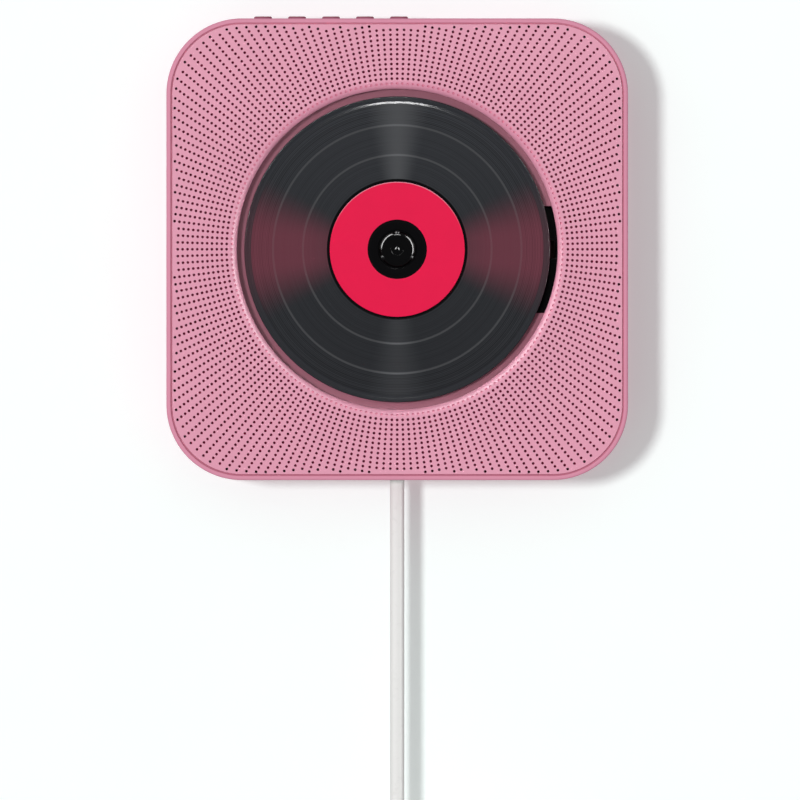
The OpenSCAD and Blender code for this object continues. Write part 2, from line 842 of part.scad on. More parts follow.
module disc_well() {
    color("lightpink") face_on() {
        difference() {
            rotate_extrude($fn = 180) {
                translate([0, floor_back_z]) square([well_r + well_wall, floor_t]);
                translate([well_r, floor_back_z]) square([well_wall, well_seam_z - floor_back_z]);
            }
            intersection() {
                box([-opening_left, opening_y0, floor_back_z - cut],
                    [well_r + cut, opening_y1, floor_z + cut]);
                translate([0, 0, floor_back_z - 2 * cut])
                    cylinder(r = well_r, h = floor_t + 4 * cut, $fn = 180);
            }
        }
        for (a = pan_boss_angles) rotate(a) pan_ear();
        difference() {
            for (p = posts) translate(p) {
                outward(post_d, damper_top_z, floor_back_z + lap);
                outward(post_pin_d, damper_z, damper_top_z + lap);
            }
            for (p = posts) translate(p) outward(pilot_d, damper_z - cut, damper_z + post_pilot_len);
        }
    }
}

module pan_screws() {
    color("silver") face_on()
        for (a = pan_boss_angles)
            rotate(a) translate([pan_boss_r, 0]) screw(pan_ear_z - head_h, pan_screw_len);
}

module deck_cover() {
    color([0.08, 0.08, 0.09]) face_on() difference() {
        box([deck_left + 0.8, opening_y0 - cover_lap, cover_z],
            [deck_right, opening_y1 + cover_lap, cover_top_z]);
        outward(hub_boss_d + 6, cover_z - cut, cover_top_z + cut);
        box([lens_park - holder_d / 2 - 1, -lens_slot_h / 2, cover_z - cut],
            [lens_far + holder_d / 2 + 1, lens_slot_h / 2, cover_top_z + cut]);
    }
}

// ---------------------------------------------------------------- deck

module rod_seat(x, y) {
    box([x, y - rod_seat_w / 2, base_top_z - lap],
        [x + rod_seat_t, y + rod_seat_w / 2, rod_z + rod_d / 2 + rod_seat_over]);
}

module deck_frame() {
    color([0.2, 0.2, 0.22]) face_on() difference() {
        union() {
            box([deck_left, opening_y0, base_z], [deck_right, opening_y1, base_top_z]);
            for (p = posts) translate(p) outward(damper_d + 3, base_z, base_top_z);
            for (p = posts)
                box([p[0] - 4, min(p[1], 0), base_z], [p[0] + 4, max(p[1], 0), base_top_z]);
            // wing that carries the feed gear and the feed motor
            box([gear_x - 6, feed_motor_y - feed_motor_d / 2, base_z],
                [feed_motor_x + feed_motor_d / 2, opening_y0 + 1, base_top_z]);
            translate([gear_x, gear_y]) outward(gear_pin_d, base_z, rack_z + rack_h + 1.5);
            translate([gear_x, gear_y]) outward(gear_pin_d + 2, base_z, gear_z - 0.1);
            // end walls that carry the cover
            box([deck_left, -tower_half, base_z], [deck_left + 2, tower_half, cover_z]);
            box([deck_right - deck_wall_t, opening_y0, base_z], [deck_right, opening_y1, cover_z]);
            // tower with the spindle motor's shelf
            box([deck_left, -tower_half, base_z], [tower_right, tower_half, shelf_z + shelf_t]);
            rod_seat(rod_seat_x, rod_y1);
            rod_seat(rod_seat_x, rod_y2);
        }
        // room for the spindle motor, open to the back and to the sled
        box([deck_left + 2, -tower_half + tower_wall, base_z - cut],
            [tower_right + cut, tower_half - tower_wall, shelf_z]);
        outward(spindle_motor_d + 1, base_z - cut, shelf_z);
        outward(hub_boss_d - 1.6, shelf_z - cut, shelf_z + shelf_t + cut);
        for (y = [rod_y1, rod_y2])
            translate([rod_left - bearing_gap, y, rod_z]) rotate([0, 90, 0])
                cylinder(d = rod_d + 2 * bearing_gap, h = rod_right - rod_left + 2 * bearing_gap);
        for (p = posts) translate(p) outward(damper_waist_d + damper_play, base_z - cut, base_top_z + cut);
        translate([feed_motor_x, feed_motor_y])
            outward(feed_shaft_d + 1.4, base_z - cut, base_top_z + cut);
        // lightening windows under the sled
        for (x = [gear_x + 4, gear_x + 22])
            box([x, opening_y0 + 14, base_z - cut], [x + 14, opening_y1 - 5, base_top_z + cut]);
    }
}

module deck_dampers() {
    color("dimgray") face_on()
        for (p = posts) translate(p) difference() {
            union() {
                outward(damper_d, damper_z, base_z);
                outward(damper_waist_d, damper_z, damper_top_z);
                outward(damper_d, base_top_z, damper_top_z);
            }
            outward(post_pin_d + damper_play, damper_z - cut, damper_top_z + cut);
        }
}

module deck_screws() {
    color("silver") face_on()
        for (p = posts) translate(p) screw(damper_z - head_h, deck_screw_len, deck_screw_head_d);
}

module guide_rods() {
    color("silver") face_on()
        for (y = [rod_y1, rod_y2])
            translate([rod_left, y, rod_z]) rotate([0, 90, 0])
                cylinder(d = rod_d, h = rod_right - rod_left);
}

module spindle_motor() {
    color("silver") face_on() difference() {
        union() {
            outward(spindle_motor_d, shelf_z - spindle_motor_h, shelf_z);
            outward(hub_boss_d - 2, shelf_z, shelf_z + shelf_t);
        }
        outward(shaft_d + 2 * bearing_gap, shaft_z - bearing_gap, shelf_z + shelf_t + cut);
    }
}

module spindle_shaft() {
    color("silver") face_on() outward(shaft_d, shaft_z, disc_front_z);
}

module spindle_hub() {
    color([0.15, 0.15, 0.16]) face_on() difference() {
        union() {
            outward(hub_boss_d, flange_z - hub_boss_h, flange_z);
            outward(flange_d, flange_z, disc_back_z);
            outward(nose_d, disc_back_z, disc_back_z + nose_h - nose_bevel);
            translate([0, 0, disc_back_z + nose_h - nose_bevel])
                cylinder(d1 = nose_d, d2 = nose_d - 2 * nose_bevel, h = nose_bevel);
        }
        outward(shaft_d + 2 * seat_gap, flange_z - hub_boss_h - cut, disc_front_z + seat_gap);
        translate([0, 0, disc_back_z + nose_h + dimple_d / 2 - dimple_depth]) sphere(d = dimple_d);
        for (a = ball_angles) rotate(a) translate([ball_r, 0, ball_z]) sphere(d = ball_d + 2 * seat_gap);
    }
}

module hub_balls() {
    color("silver") face_on()
        for (a = ball_angles) rotate(a) translate([ball_r, 0, ball_z]) sphere(d = ball_d);
}

module disc() {
    color([0.22, 0.22, 0.24]) face_on() rotate_extrude($fn = 180) difference() {
        translate([disc_bore / 2, disc_back_z]) square([(disc_d - disc_bore) / 2, disc_t]);
        for (share = ring_lines)
            translate([label_d / 2 + share * (disc_d - label_d) / 2 - ring_line, disc_front_z - ring_depth])
                square([ring_line, cut]);
        translate([label_bore / 2, disc_front_z - label_t])
            square([(label_d - label_bore) / 2, cut]);
    }
}

module disc_label() {
    color("crimson") face_on() translate([0, 0, disc_front_z - label_t]) linear_extrude(label_t)
        difference() {
            circle(d = label_d - 2 * seat_gap, $fn = 180);
            circle(d = label_bore + 2 * seat_gap, $fn = 96);
        }
}

// ---------------------------------------------------------------- pickup

module rack_outline() {
    pitch = PI * tooth_m;
    tip_y = rack_pitch_y - tooth_add * tooth_m;
    root_y = rack_pitch_y + tooth_ded * tooth_m;
    half_pitch = pitch / 4 - backlash / 2;
    tip_half = half_pitch - tooth_add * tooth_m * tan(pressure_angle);
    root_half = half_pitch + tooth_ded * tooth_m * tan(pressure_angle);
    x0 = lens_park - rack_back;
    x1 = lens_park + sled_front;
    translate([x0, root_y - 0.02]) square([x1 - x0, sled_y0 - root_y + 0.22]);
    // a gap between two teeth faces the wheel's tooth when the sled is parked
    first = ceil((x0 + root_half - gear_x) / pitch - 0.5);
    last = floor((x1 - root_half - gear_x) / pitch - 0.5);
    for (i = [first:last])
        translate([gear_x + (i + 0.5) * pitch, 0])
            polygon([[-root_half, root_y], [-tip_half, tip_y], [tip_half, tip_y], [root_half, root_y]]);
}

module pickup_sled() {
    x0 = lens_park - sled_back;
    x1 = lens_park + sled_front;
    color([0.3, 0.3, 0.32]) face_on() difference() {
        union() {
            box([x0, sled_y0, sled_z], [x1, sled_y1, sled_top_z - 2]);
            translate([lens_park, 0]) outward(holder_d + 5, sled_z, sled_top_z);
            translate([0, 0, rack_z]) linear_extrude(rack_h) rack_outline();
        }
        // bores for the guide rods: a round one, and a slot that leaves play in one direction
        translate([x0 - cut, rod_y1, rod_z]) rotate([0, 90, 0])
            cylinder(d = rod_d + 2 * bearing_gap, h = x1 - x0 + 2 * cut);
        box([x0 - cut, rod_y2 - rod_d / 2 - rod_slot_play, rod_z - rod_d / 2 - bearing_gap],
            [x1 + cut, rod_y2 + rod_d / 2 + rod_slot_play, rod_z + rod_d / 2 + bearing_gap]);
        translate([lens_park, 0])
            outward(holder_d + 2 * slide_gap, holder_top_z - holder_h - 0.8, sled_top_z + cut);
        // hollows that save weight
        for (y = sled_hollows)
            box([x0 + 3, y - 3, sled_z + hollow_floor_t], [x1 - 3, y + 1, sled_top_z]);
    }
}

module lens_holder() {
    color([0.1, 0.1, 0.12]) face_on() translate([lens_park, 0]) difference() {
        outward(holder_d, holder_top_z - holder_h, holder_top_z);
        outward(lens_d + 2 * seat_gap, holder_top_z - lens_seat, holder_top_z + cut);
        outward(lens_d - 1.2, holder_top_z - holder_h + 2, holder_top_z + cut);
    }
}

module lens() {
    dome = 0.9;
    dome_r = (pow(lens_d / 2, 2) + pow(dome, 2)) / (2 * dome);
    color("lightblue") face_on() translate([lens_park, 0, holder_top_z - lens_seat]) {
        cylinder(d = lens_d, h = lens_seat);
        intersection() {
            translate([0, 0, lens_seat + dome - dome_r]) sphere(dome_r);
            translate([0, 0, lens_seat - 0.1]) cylinder(d = lens_d, h = dome + 1);
        }
    }
}

module feed_gear() {
    tooth_turn = 90;
    color("ivory") face_on() translate([gear_x, gear_y]) difference() {
        union() {
            translate([0, 0, gear_z]) rotate(feed_motor_angle)
                linear_extrude(gear_h) gear_outline(wheel_teeth);
            translate([0, 0, gear_z]) rotate(tooth_turn)
                linear_extrude(rack_z + rack_h + 0.5 - gear_z) gear_outline(pinion_teeth);
        }
        outward(gear_pin_d + 2 * bearing_gap, gear_z - cut, rack_z + rack_h + cut);
    }
}

module feed_pinion() {
    // a gap between two teeth faces the wheel's tooth
    tooth_turn = feed_motor_angle + 180 + 180 / pinion_teeth;
    color("ivory") face_on() translate([feed_motor_x, feed_motor_y]) {
        translate([0, 0, gear_z]) rotate(tooth_turn) linear_extrude(gear_h) gear_outline(pinion_teeth);
        outward(feed_shaft_d, base_z - feed_motor_h + 1, gear_z + gear_h + 0.5);
    }
}

module feed_motor() {
    color("silver") face_on() translate([feed_motor_x, feed_motor_y]) difference() {
        outward(feed_motor_d, base_z - feed_motor_h, base_z);
        outward(feed_shaft_d + 2 * bearing_gap, base_z - feed_motor_h + 1 - bearing_gap, base_z + cut);
    }
}

// ---------------------------------------------------------------- boards

module main_board() {
    color("darkgreen") face_on() difference() {
        box([-main_board_half, main_board_y0, main_board_z],
            [main_board_half, main_board_y1, main_board_z + board_t]);
        for (p = board_bosses) translate(p)
            outward(thread_d + 2 * screw_gap, main_board_z - cut, main_board_z + board_t + cut);
    }
}

// Stands children on the main board, at its middle.
module on_main_board() {
    face_on() translate([0, (main_board_y0 + main_board_y1) / 2, main_board_z + board_t]) children();
}

module board_chips() {
    color([0.12, 0.12, 0.12]) on_main_board()
        for (c = chips)
            translate([c[0] - c[2] / 2, c[1] - c[3] / 2]) cube([c[2], c[3], c[4]]);
}

module board_capacitors() {
    color("navy") on_main_board()
        for (i = [0:2], j = [0, 1])
            translate([main_board_half - capacitor_inset + i * capacitor_pitch[0], j * capacitor_pitch[1]])
                outward(capacitor_d, 0, capacitor_h);
}

// A screw through a board whose outer face is at z, with its tip towards the wall.
module board_screw(z, len) {
    translate([0, 0, z + head_h]) mirror([0, 0, 1]) screw(0, len);
}

module board_screws() {
    color("silver") face_on() {
        for (p = board_bosses) translate(p) board_screw(main_board_z + board_t, board_screw_len);
        for (p = power_bosses) translate(p) board_screw(power_board_z + board_t, power_screw_len);
    }
}

module power_board_piece() {
    color("darkgreen") face_on() difference() {
        box(concat(power_board[0], power_board_z), concat(power_board[1], power_board_z + board_t));
        for (p = power_bosses) translate(p)
            outward(thread_d + 2 * screw_gap, power_board_z - cut, power_board_z + board_t + cut);
    }
}

module transformer() {
    size = transformer_size;
    plate_t = (size[2] - transformer_core[1]) / 2;
    color("goldenrod") face_on()
        translate([transformer_place[0], transformer_place[1], power_board_z + board_t]) {
            for (z = [0, size[2] - plate_t]) translate([0, 0, z]) cube([size[0], size[1], plate_t]);
            translate([(size[0] - transformer_core[0]) / 2, 0, plate_t - lap])
                cube([transformer_core[0], size[1], transformer_core[1] + 2 * lap]);
        }
}

module button_board() {
    color("darkgreen") face_on()
        box([button_board_x0, button_board_y, inside_z],
            [button_board_x1, button_board_y + board_t, button_board_top_z]);
}

module button_switches() {
    y = button_board_y + board_t;
    color([0.15, 0.15, 0.15]) face_on()
        for (i = [0:4]) translate([button_x(i), 0, button_out]) {
            box([-switch_size / 2, y, -switch_size / 2], [switch_size / 2, y + switch_h, switch_size / 2]);
            upright(plunger_d, y + switch_h - lap, plunger_y);
        }
}

module button(i) {
    r = button_round;
    color("palevioletred") face_on() translate([button_x(i), 0, button_out]) {
        upright(button_d, button_flange_y - lap, button_top - r);
        translate([0, button_top - r, 0]) rotate([-90, 0, 0])
            rotate_extrude() {
                square([button_d / 2 - r, r]);
                translate([button_d / 2 - r, 0]) intersection() {
                    circle(r);
                    square(r);
                }
            }
        upright(button_flange_d, button_flange_y - button_flange_t, button_flange_y);
        upright(button_stem_d, button_stem_y, button_flange_y - button_flange_t + lap);
    }
}

// ---------------------------------------------------------------- loudspeakers

module at_speakers(sides = [-1, 1]) {
    for (side = sides) translate([side * speaker_off, -speaker_off]) children();
}

module speaker_frames() {
    inner = speaker_r - speaker_rim;
    neck = magnet_d / 2 + 1;
    rim_z = cloth_z - speaker_rim_t;
    color("dimgray") face_on() at_speakers() difference() {
        rotate_extrude() polygon([
            [inner, cloth_z], [speaker_r, cloth_z], [speaker_r, rim_z], [neck, speaker_z],
            [coil_r + 0.7, speaker_z], [coil_r + 0.7, speaker_z + speaker_back_t],
            [neck - 1, speaker_z + speaker_back_t], [inner, rim_z]
        ]);
        for (turn = [0:60:300]) rotate(turn)
            box([neck + 0.8, -3.4, speaker_z + 1.6], [speaker_r + cut, 3.4, rim_z - 0.6]);
    }
}

module speaker_magnets() {
    color("silver") face_on() at_speakers() translate([0, 0, speaker_z - magnet_h]) {
        difference() {
            outward(magnet_d, 2, magnet_h);
            outward(2 * coil_r + 1.4, 2 - cut, magnet_h + cut);
        }
        outward(magnet_d - 2, 0, 2);
        outward(2 * pole_r, 0, magnet_h + 0.6);
    }
}

module speaker_cone(side) {
    roll_x = cone_r - 2 * roll_r;
    cap_z = cone_neck_z + 0.4;
    color([0.2, 0.2, 0.22]) face_on() at_speakers([side]) rotate_extrude() {
        // voice coil, cone, dust cap and surround, as one bonded piece
        translate([coil_r - 0.7, speaker_z - 4]) square([0.7, cone_neck_z - speaker_z + 4.2]);
        polygon([
            [coil_r - 0.7, cone_neck_z], [coil_r, cone_neck_z], [roll_x, cone_edge_z],
            [cone_r, cone_edge_z], [cone_r, cone_edge_z + cone_t],
            [roll_x - 0.4, cone_edge_z + cone_t], [coil_r - 0.7, cone_neck_z + 0.8]
        ]);
        polygon([
            [0, cap_z + 1.6], [2.6, cap_z + 1.3], [4.8, cap_z + 0.6], [coil_r - 0.4, cap_z - 0.2],
            [coil_r - 0.4, cap_z + 0.4], [4.8, cap_z + 1.1], [2.6, cap_z + 1.8], [0, cap_z + 2.1]
        ]);
        translate([roll_x + roll_r, cone_edge_z + cone_t]) intersection() {
            difference() {
                circle(roll_r);
                circle(roll_r - cone_t);
            }
            translate([-roll_r, -0.1]) square([2 * roll_r, roll_r + 0.1]);
        }
    }
}

// ---------------------------------------------------------------- pull switch

module pull_guide() {
    outer = guide_half + guide_wall;
    seat_top = spring_seat_y + spring_seat_t;
    color("white") face_on() difference() {
        box([-outer, spring_seat_y, inside_z], [outer, guide_top_y + guide_wall, guide_top_z]);
        box([-guide_half, seat_top, lead_out - slider_depth / 2 - slide_gap],
            [guide_half, guide_top_y, guide_top_z + cut]);
        translate([0, 0, lead_out]) upright(relief_top_d + 1, spring_seat_y - cut, seat_top + cut);
        // hollow behind the slider, and the window for the contact
        box([-guide_half, seat_top, inside_z + 2],
            [guide_half, guide_top_y, lead_out - slider_depth / 2 - 2]);
        box([guide_half - cut, slider_y + 2, lead_out - 3], [outer + cut, slider_top_y - 2, lead_out + 3]);
    }
}

module pull_slider() {
    color("gainsboro") face_on() difference() {
        box([-slider_w / 2, slider_y, lead_out - slider_depth / 2],
            [slider_w / 2, slider_top_y, lead_out + slider_depth / 2]);
        // clamp slot over the lead's end, and its screw
        box([-1, slider_y + 4, lead_out], [1, slider_top_y + cut, lead_out + slider_depth / 2 + cut]);
        translate([0, slider_y + slider_len / 2, lead_out + slider_depth / 2 - 2]) outward(5, 0, 3);
    }
}

module pull_spring() {
    color("silver") tube(spring_path, spring_wire, coil_sides, [0, 0, 1]);
}

module pull_contact() {
    x = guide_half + guide_wall;
    y0 = slider_y + 1;
    y1 = slider_top_y - 1;
    color([0.15, 0.15, 0.15]) face_on() {
        box([x, y0, lead_out - contact_half], [x + contact_d, y1, lead_out + contact_half]);
        box([slider_w / 2 + contact_gap, y0 + 3, lead_out - feeler_half],
            [x + lap, y1 - 3, lead_out + feeler_half]);
    }
}

module strain_relief() {
    color("whitesmoke") face_on() translate([0, 0, lead_out])
        translate([0, slider_y, 0]) rotate([90, 0, 0])
            cylinder(d1 = relief_top_d, d2 = relief_end_d, h = relief_len);
}

module lead_bushing() {
    color("whitesmoke") face_on() translate([0, 0, lead_out]) difference() {
        union() {
            upright(bushing_d, -body_half, -case_in + 0.1);
            upright(bushing_d + 3, -case_in, -case_in + 1);
        }
        upright(bushing_hole_d, -body_half - cut, -case_in + cut + 1);
    }
}

module line_jack() {
    color([0.12, 0.12, 0.12]) face_on() translate([jack_x, 0, jack_out]) difference() {
        union() {
            upright(jack_d, -case_in, -case_in + jack_len);
            upright(jack_nose_d, -body_half, -case_in + 0.1);
        }
        upright(jack_bore, -body_half - cut, -case_in + jack_len - 2);
    }
}

// ---------------------------------------------------------------- lead, coil and plug

module lead() {
    color("white") tube(lead_route, lead_d, lead_sides, [0, 1, 0]);
}

// How far the coil's layer has climbed at a turn, from 0 to the last layer. Each climb
// takes the half turn where the spiral reverses.
function smooth(t) = let (s = min(max(t, 0), 1)) s * s * (3 - 2 * s);
function coil_layer(t) = [
    for (k = [1:coil_layers - 1]) smooth((t - k * coil_turns / coil_layers + 0.25) / 0.5)
] * [for (k = [1:coil_layers - 1]) 1];

// Radius at a turn: in and out again at a steady rate.
function coil_radius(t) =
    let (
        leg = coil_turns / coil_layers,
        n = floor(min(t, coil_turns - 0.001) / leg),
        s = t / leg - n
    )
    n % 2 == 0 ? coil_out_r - coil_spread * s : coil_in_r + coil_spread * s;

module lead_coil() {
    color("white") tube(coil_path, lead_d, coil_sides, [0, 1, 0]);
}

module lead_tie() {
    in_r = coil_in_r - lead_d / 2 - tie_gap;
    out_r = coil_out_r + lead_d / 2 + tie_gap;
    y_far = lead_end[1] + lead_d / 2 + tie_gap;
    y_near = plug_y - lead_d / 2 - tie_gap;
    color("white") translate([coil_x, 0, coil_z]) difference() {
        translate([in_r - tie_t, y_near - tie_t, -tie_w / 2])
            cube([out_r - in_r + 2 * tie_t, y_far - y_near + 2 * tie_t, tie_w]);
        translate([in_r, y_near, -tie_w / 2 - cut])
            cube([out_r - in_r, y_far - y_near, tie_w + 2 * cut]);
    }
}

module plug() {
    half = plug_w / 2;
    neck = plug_relief_d / 2 + 1;
    color("white") translate([lead_end[0], plug_y, plug_top_z]) mirror([0, 0, 1]) {
        cylinder(d1 = lead_d + 1.2, d2 = plug_relief_d, h = plug_relief);
        difference() {
            translate([0, plug_t / 2, plug_relief]) rotate([90, 0, 0]) linear_extrude(plug_t) polygon([
                [-neck, 0], [neck, 0], [half, plug_wide_from], [half, plug_wide_to],
                [plug_face_w / 2, plug_len], [-plug_face_w / 2, plug_len],
                [-half, plug_wide_to], [-half, plug_wide_from]
            ]);
            for (s = [-1, 1]) translate([s * pin_gap / 2, 0, plug_relief + plug_len - pin_root])
                cylinder(d = pin_d + 2 * seat_gap, h = pin_root + cut);
        }
    }
}

module plug_pins() {
    color("silver") translate([lead_end[0], plug_y, plug_top_z]) mirror([0, 0, 1])
        for (s = [-1, 1]) translate([s * pin_gap / 2, 0, plug_relief + plug_len - pin_root + seat_gap])
            cylinder(d = pin_d, h = pin_len + pin_root);
}

// ---------------------------------------------------------------- nodes

wall_bracket();
rear_cover();
wall_pads();
case_frame();
case_screws();
front_grille();
dust_cloth();
disc_well();
pan_screws();
deck_cover();
deck_frame();
deck_dampers();
deck_screws();
guide_rods();
spindle_motor();
spindle_shaft();
spindle_hub();
hub_balls();
disc();
disc_label();
pickup_sled();
lens_holder();
lens();
feed_gear();
feed_pinion();
feed_motor();
main_board();
board_chips();
board_capacitors();
board_screws();
button_board();
button_switches();
button(0);  // button_1
button(1);  // button_2
button(2);  // button_3
button(3);  // button_4
button(4);  // button_5
speaker_frames();
speaker_magnets();
speaker_cone(-1);  // speaker_cone_left
speaker_cone(1);  // speaker_cone_right
power_board_piece();  // power_board
transformer();
line_jack();
pull_guide();
pull_slider();
pull_spring();
pull_contact();
strain_relief();
lead_bushing();
lead();
lead_coil();
lead_tie();
plug();
plug_pins();
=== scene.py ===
"""Looks of the wall mounted disc player: its finishes, its fine shapes, the wall, the light and the camera.

Shapes are drawn face on, in millimetres: x to the right, y up and z out from the wall. Shape.mesh() stands
them up in the frame, in metres. The sizes in finishes are in millimetres too, and the studio's are in metres.
"""

from __future__ import annotations

import json
import logging
import math
from dataclasses import dataclass, field
from enum import Enum
from typing import Callable, Iterable, Sequence

import bmesh
import bpy
from mathutils import Matrix, Vector

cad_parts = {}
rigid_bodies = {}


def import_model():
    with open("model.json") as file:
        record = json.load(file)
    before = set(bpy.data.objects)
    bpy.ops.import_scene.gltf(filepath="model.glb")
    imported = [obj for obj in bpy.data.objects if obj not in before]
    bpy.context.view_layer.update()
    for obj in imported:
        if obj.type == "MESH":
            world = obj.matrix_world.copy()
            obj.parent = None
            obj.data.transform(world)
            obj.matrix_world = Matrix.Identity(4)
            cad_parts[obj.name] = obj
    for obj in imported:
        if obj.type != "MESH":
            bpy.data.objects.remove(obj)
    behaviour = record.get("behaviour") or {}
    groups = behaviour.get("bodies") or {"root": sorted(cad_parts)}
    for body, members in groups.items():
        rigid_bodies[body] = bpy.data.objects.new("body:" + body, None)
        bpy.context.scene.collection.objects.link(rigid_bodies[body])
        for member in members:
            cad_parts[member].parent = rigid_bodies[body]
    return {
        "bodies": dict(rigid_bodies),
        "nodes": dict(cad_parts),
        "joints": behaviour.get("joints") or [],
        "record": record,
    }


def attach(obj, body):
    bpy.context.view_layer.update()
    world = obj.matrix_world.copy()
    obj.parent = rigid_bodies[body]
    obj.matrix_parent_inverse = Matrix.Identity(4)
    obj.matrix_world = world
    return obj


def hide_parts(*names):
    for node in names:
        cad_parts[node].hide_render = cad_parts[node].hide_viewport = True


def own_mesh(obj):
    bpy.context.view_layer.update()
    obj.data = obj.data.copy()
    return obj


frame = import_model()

MM = 0.001
TAU = 2 * math.pi
FACE_ON = Matrix(((MM, 0, 0, 0), (0, 0, -MM, 0), (0, MM, 0, 0), (0, 0, 0, 1)))

# in metres: points this near are one, and edges this short go
WELD = 1e-6
SLIVER = 1e-7

# in millimetres, for what more than one piece goes by: the front's distance from the wall and its thickness,
# the rear cover's inner face, the lead's distance from the wall, and the radii of the disc's smooth lines
FRONT_OUT = 42.0
FRONT_T = 2.0
INSIDE = 3.0
LEAD_OUT = 21.0
LINE_RADII = (37.0, 48.7)

Colour = tuple[float, float, float, float]
Point = tuple[float, float, float]
Profile = list[tuple[float, float]]

log = logging.getLogger("disc_player")


class Body(Enum):
    """The bodies that pieces ride on."""

    BRACKET = "bracket"
    PLAYER = "player"
    SPINDLE = "spindle"
    DISC = "disc"
    PULL = "pull"


class Axis(Enum):
    """The direction that a turned shape's axis points in, face on."""

    OUT = "out"
    UP = "up"


def srgb(red: int, green: int, blue: int) -> Colour:
    """Turns a display colour, 0 to 255, into a linear one.

    Args:
        red, green, blue: The display colour.

    Returns:
        The linear colour, with alpha 1.
    """
    shares = [value / 255 for value in (red, green, blue)]
    linear = [s / 12.92 if s <= 0.04045 else ((s + 0.055) / 1.055) ** 2.4 for s in shares]
    return (linear[0], linear[1], linear[2], 1.0)


def shade(colour: Colour, share: float) -> Colour:
    """Returns the colour made lighter or darker by a factor."""
    return (colour[0] * share, colour[1] * share, colour[2] * share, 1.0)


# -------------------------------------------------------------------------------- node trees


def _operator(operation: str, swapped: bool = False) -> Callable[["Value", "Term"], "Value"]:
    """Makes the method behind one operator of Value.

    Args:
        operation: The Math node's operation.
        swapped: True for the reflected form, such as 1 - mask.

    Returns:
        The method.
    """

    def method(self: Value, other: Term) -> Value:
        """Adds the Math node."""
        return self.graph.maths(operation, *((other, self) if swapped else (self, other)))

    return method


class Value:
    """A node's output that takes part in expressions."""

    def __init__(self, graph: Graph, socket: bpy.types.NodeSocket) -> None:
        """Keeps the tree and the output."""
        self.graph = graph
        self.socket = socket

    __add__ = _operator("ADD")
    __radd__ = _operator("ADD", swapped=True)
    __sub__ = _operator("SUBTRACT")
    __rsub__ = _operator("SUBTRACT", swapped=True)
    __mul__ = _operator("MULTIPLY")
    __rmul__ = _operator("MULTIPLY", swapped=True)
    __truediv__ = _operator("DIVIDE")
    __rtruediv__ = _operator("DIVIDE", swapped=True)


Term = Value | float


class Graph:
    """A node tree that is written as expressions."""

    def __init__(self, tree: bpy.types.NodeTree) -> None:
        """Keeps the tree."""
        self.tree = tree

    def node(self, kind: str, settings: dict | None = None, inputs: dict | None = None) -> bpy.types.Node:
        """Adds one node.

        Args:
            kind: The node's type.
            settings: Its properties, which are set first.
            inputs: Values, links or lists of links, by the input's name or number.

        Returns:
            The node.
        """
        made = self.tree.nodes.new(kind)
        for name, setting in (settings or {}).items():
            setattr(made, name, setting)
        for name, value in (inputs or {}).items():
            for one in value if isinstance(value, list) else [value]:
                if isinstance(one, Value):
                    self.tree.links.new(one.socket, made.inputs[name])
                else:
                    made.inputs[name].default_value = one
        return made

    def value(
        self, kind: str, output: int | str = 0, settings: dict | None = None, inputs: dict | None = None
    ) -> Value:
        """Adds a node and returns one of its outputs, for use in expressions."""
        return Value(self, self.node(kind, settings, inputs).outputs[output])

    def maths(self, operation: str, *terms: Term) -> Value:
        """Adds a Math node."""
        return self.value("ShaderNodeMath", 0, {"operation": operation}, dict(enumerate(terms)))

    def split(self, vector: Value) -> tuple[Value, Value, Value]:
        """Splits a vector into x, y and z."""
        x, y, z = self.node("ShaderNodeSeparateXYZ", inputs={0: vector}).outputs
        return Value(self, x), Value(self, y), Value(self, z)

    def join(self, x: Term, y: Term, z: Term) -> Value:
        """Joins three values into a vector."""
        return self.value("ShaderNodeCombineXYZ", 0, inputs={0: x, 1: y, 2: z})


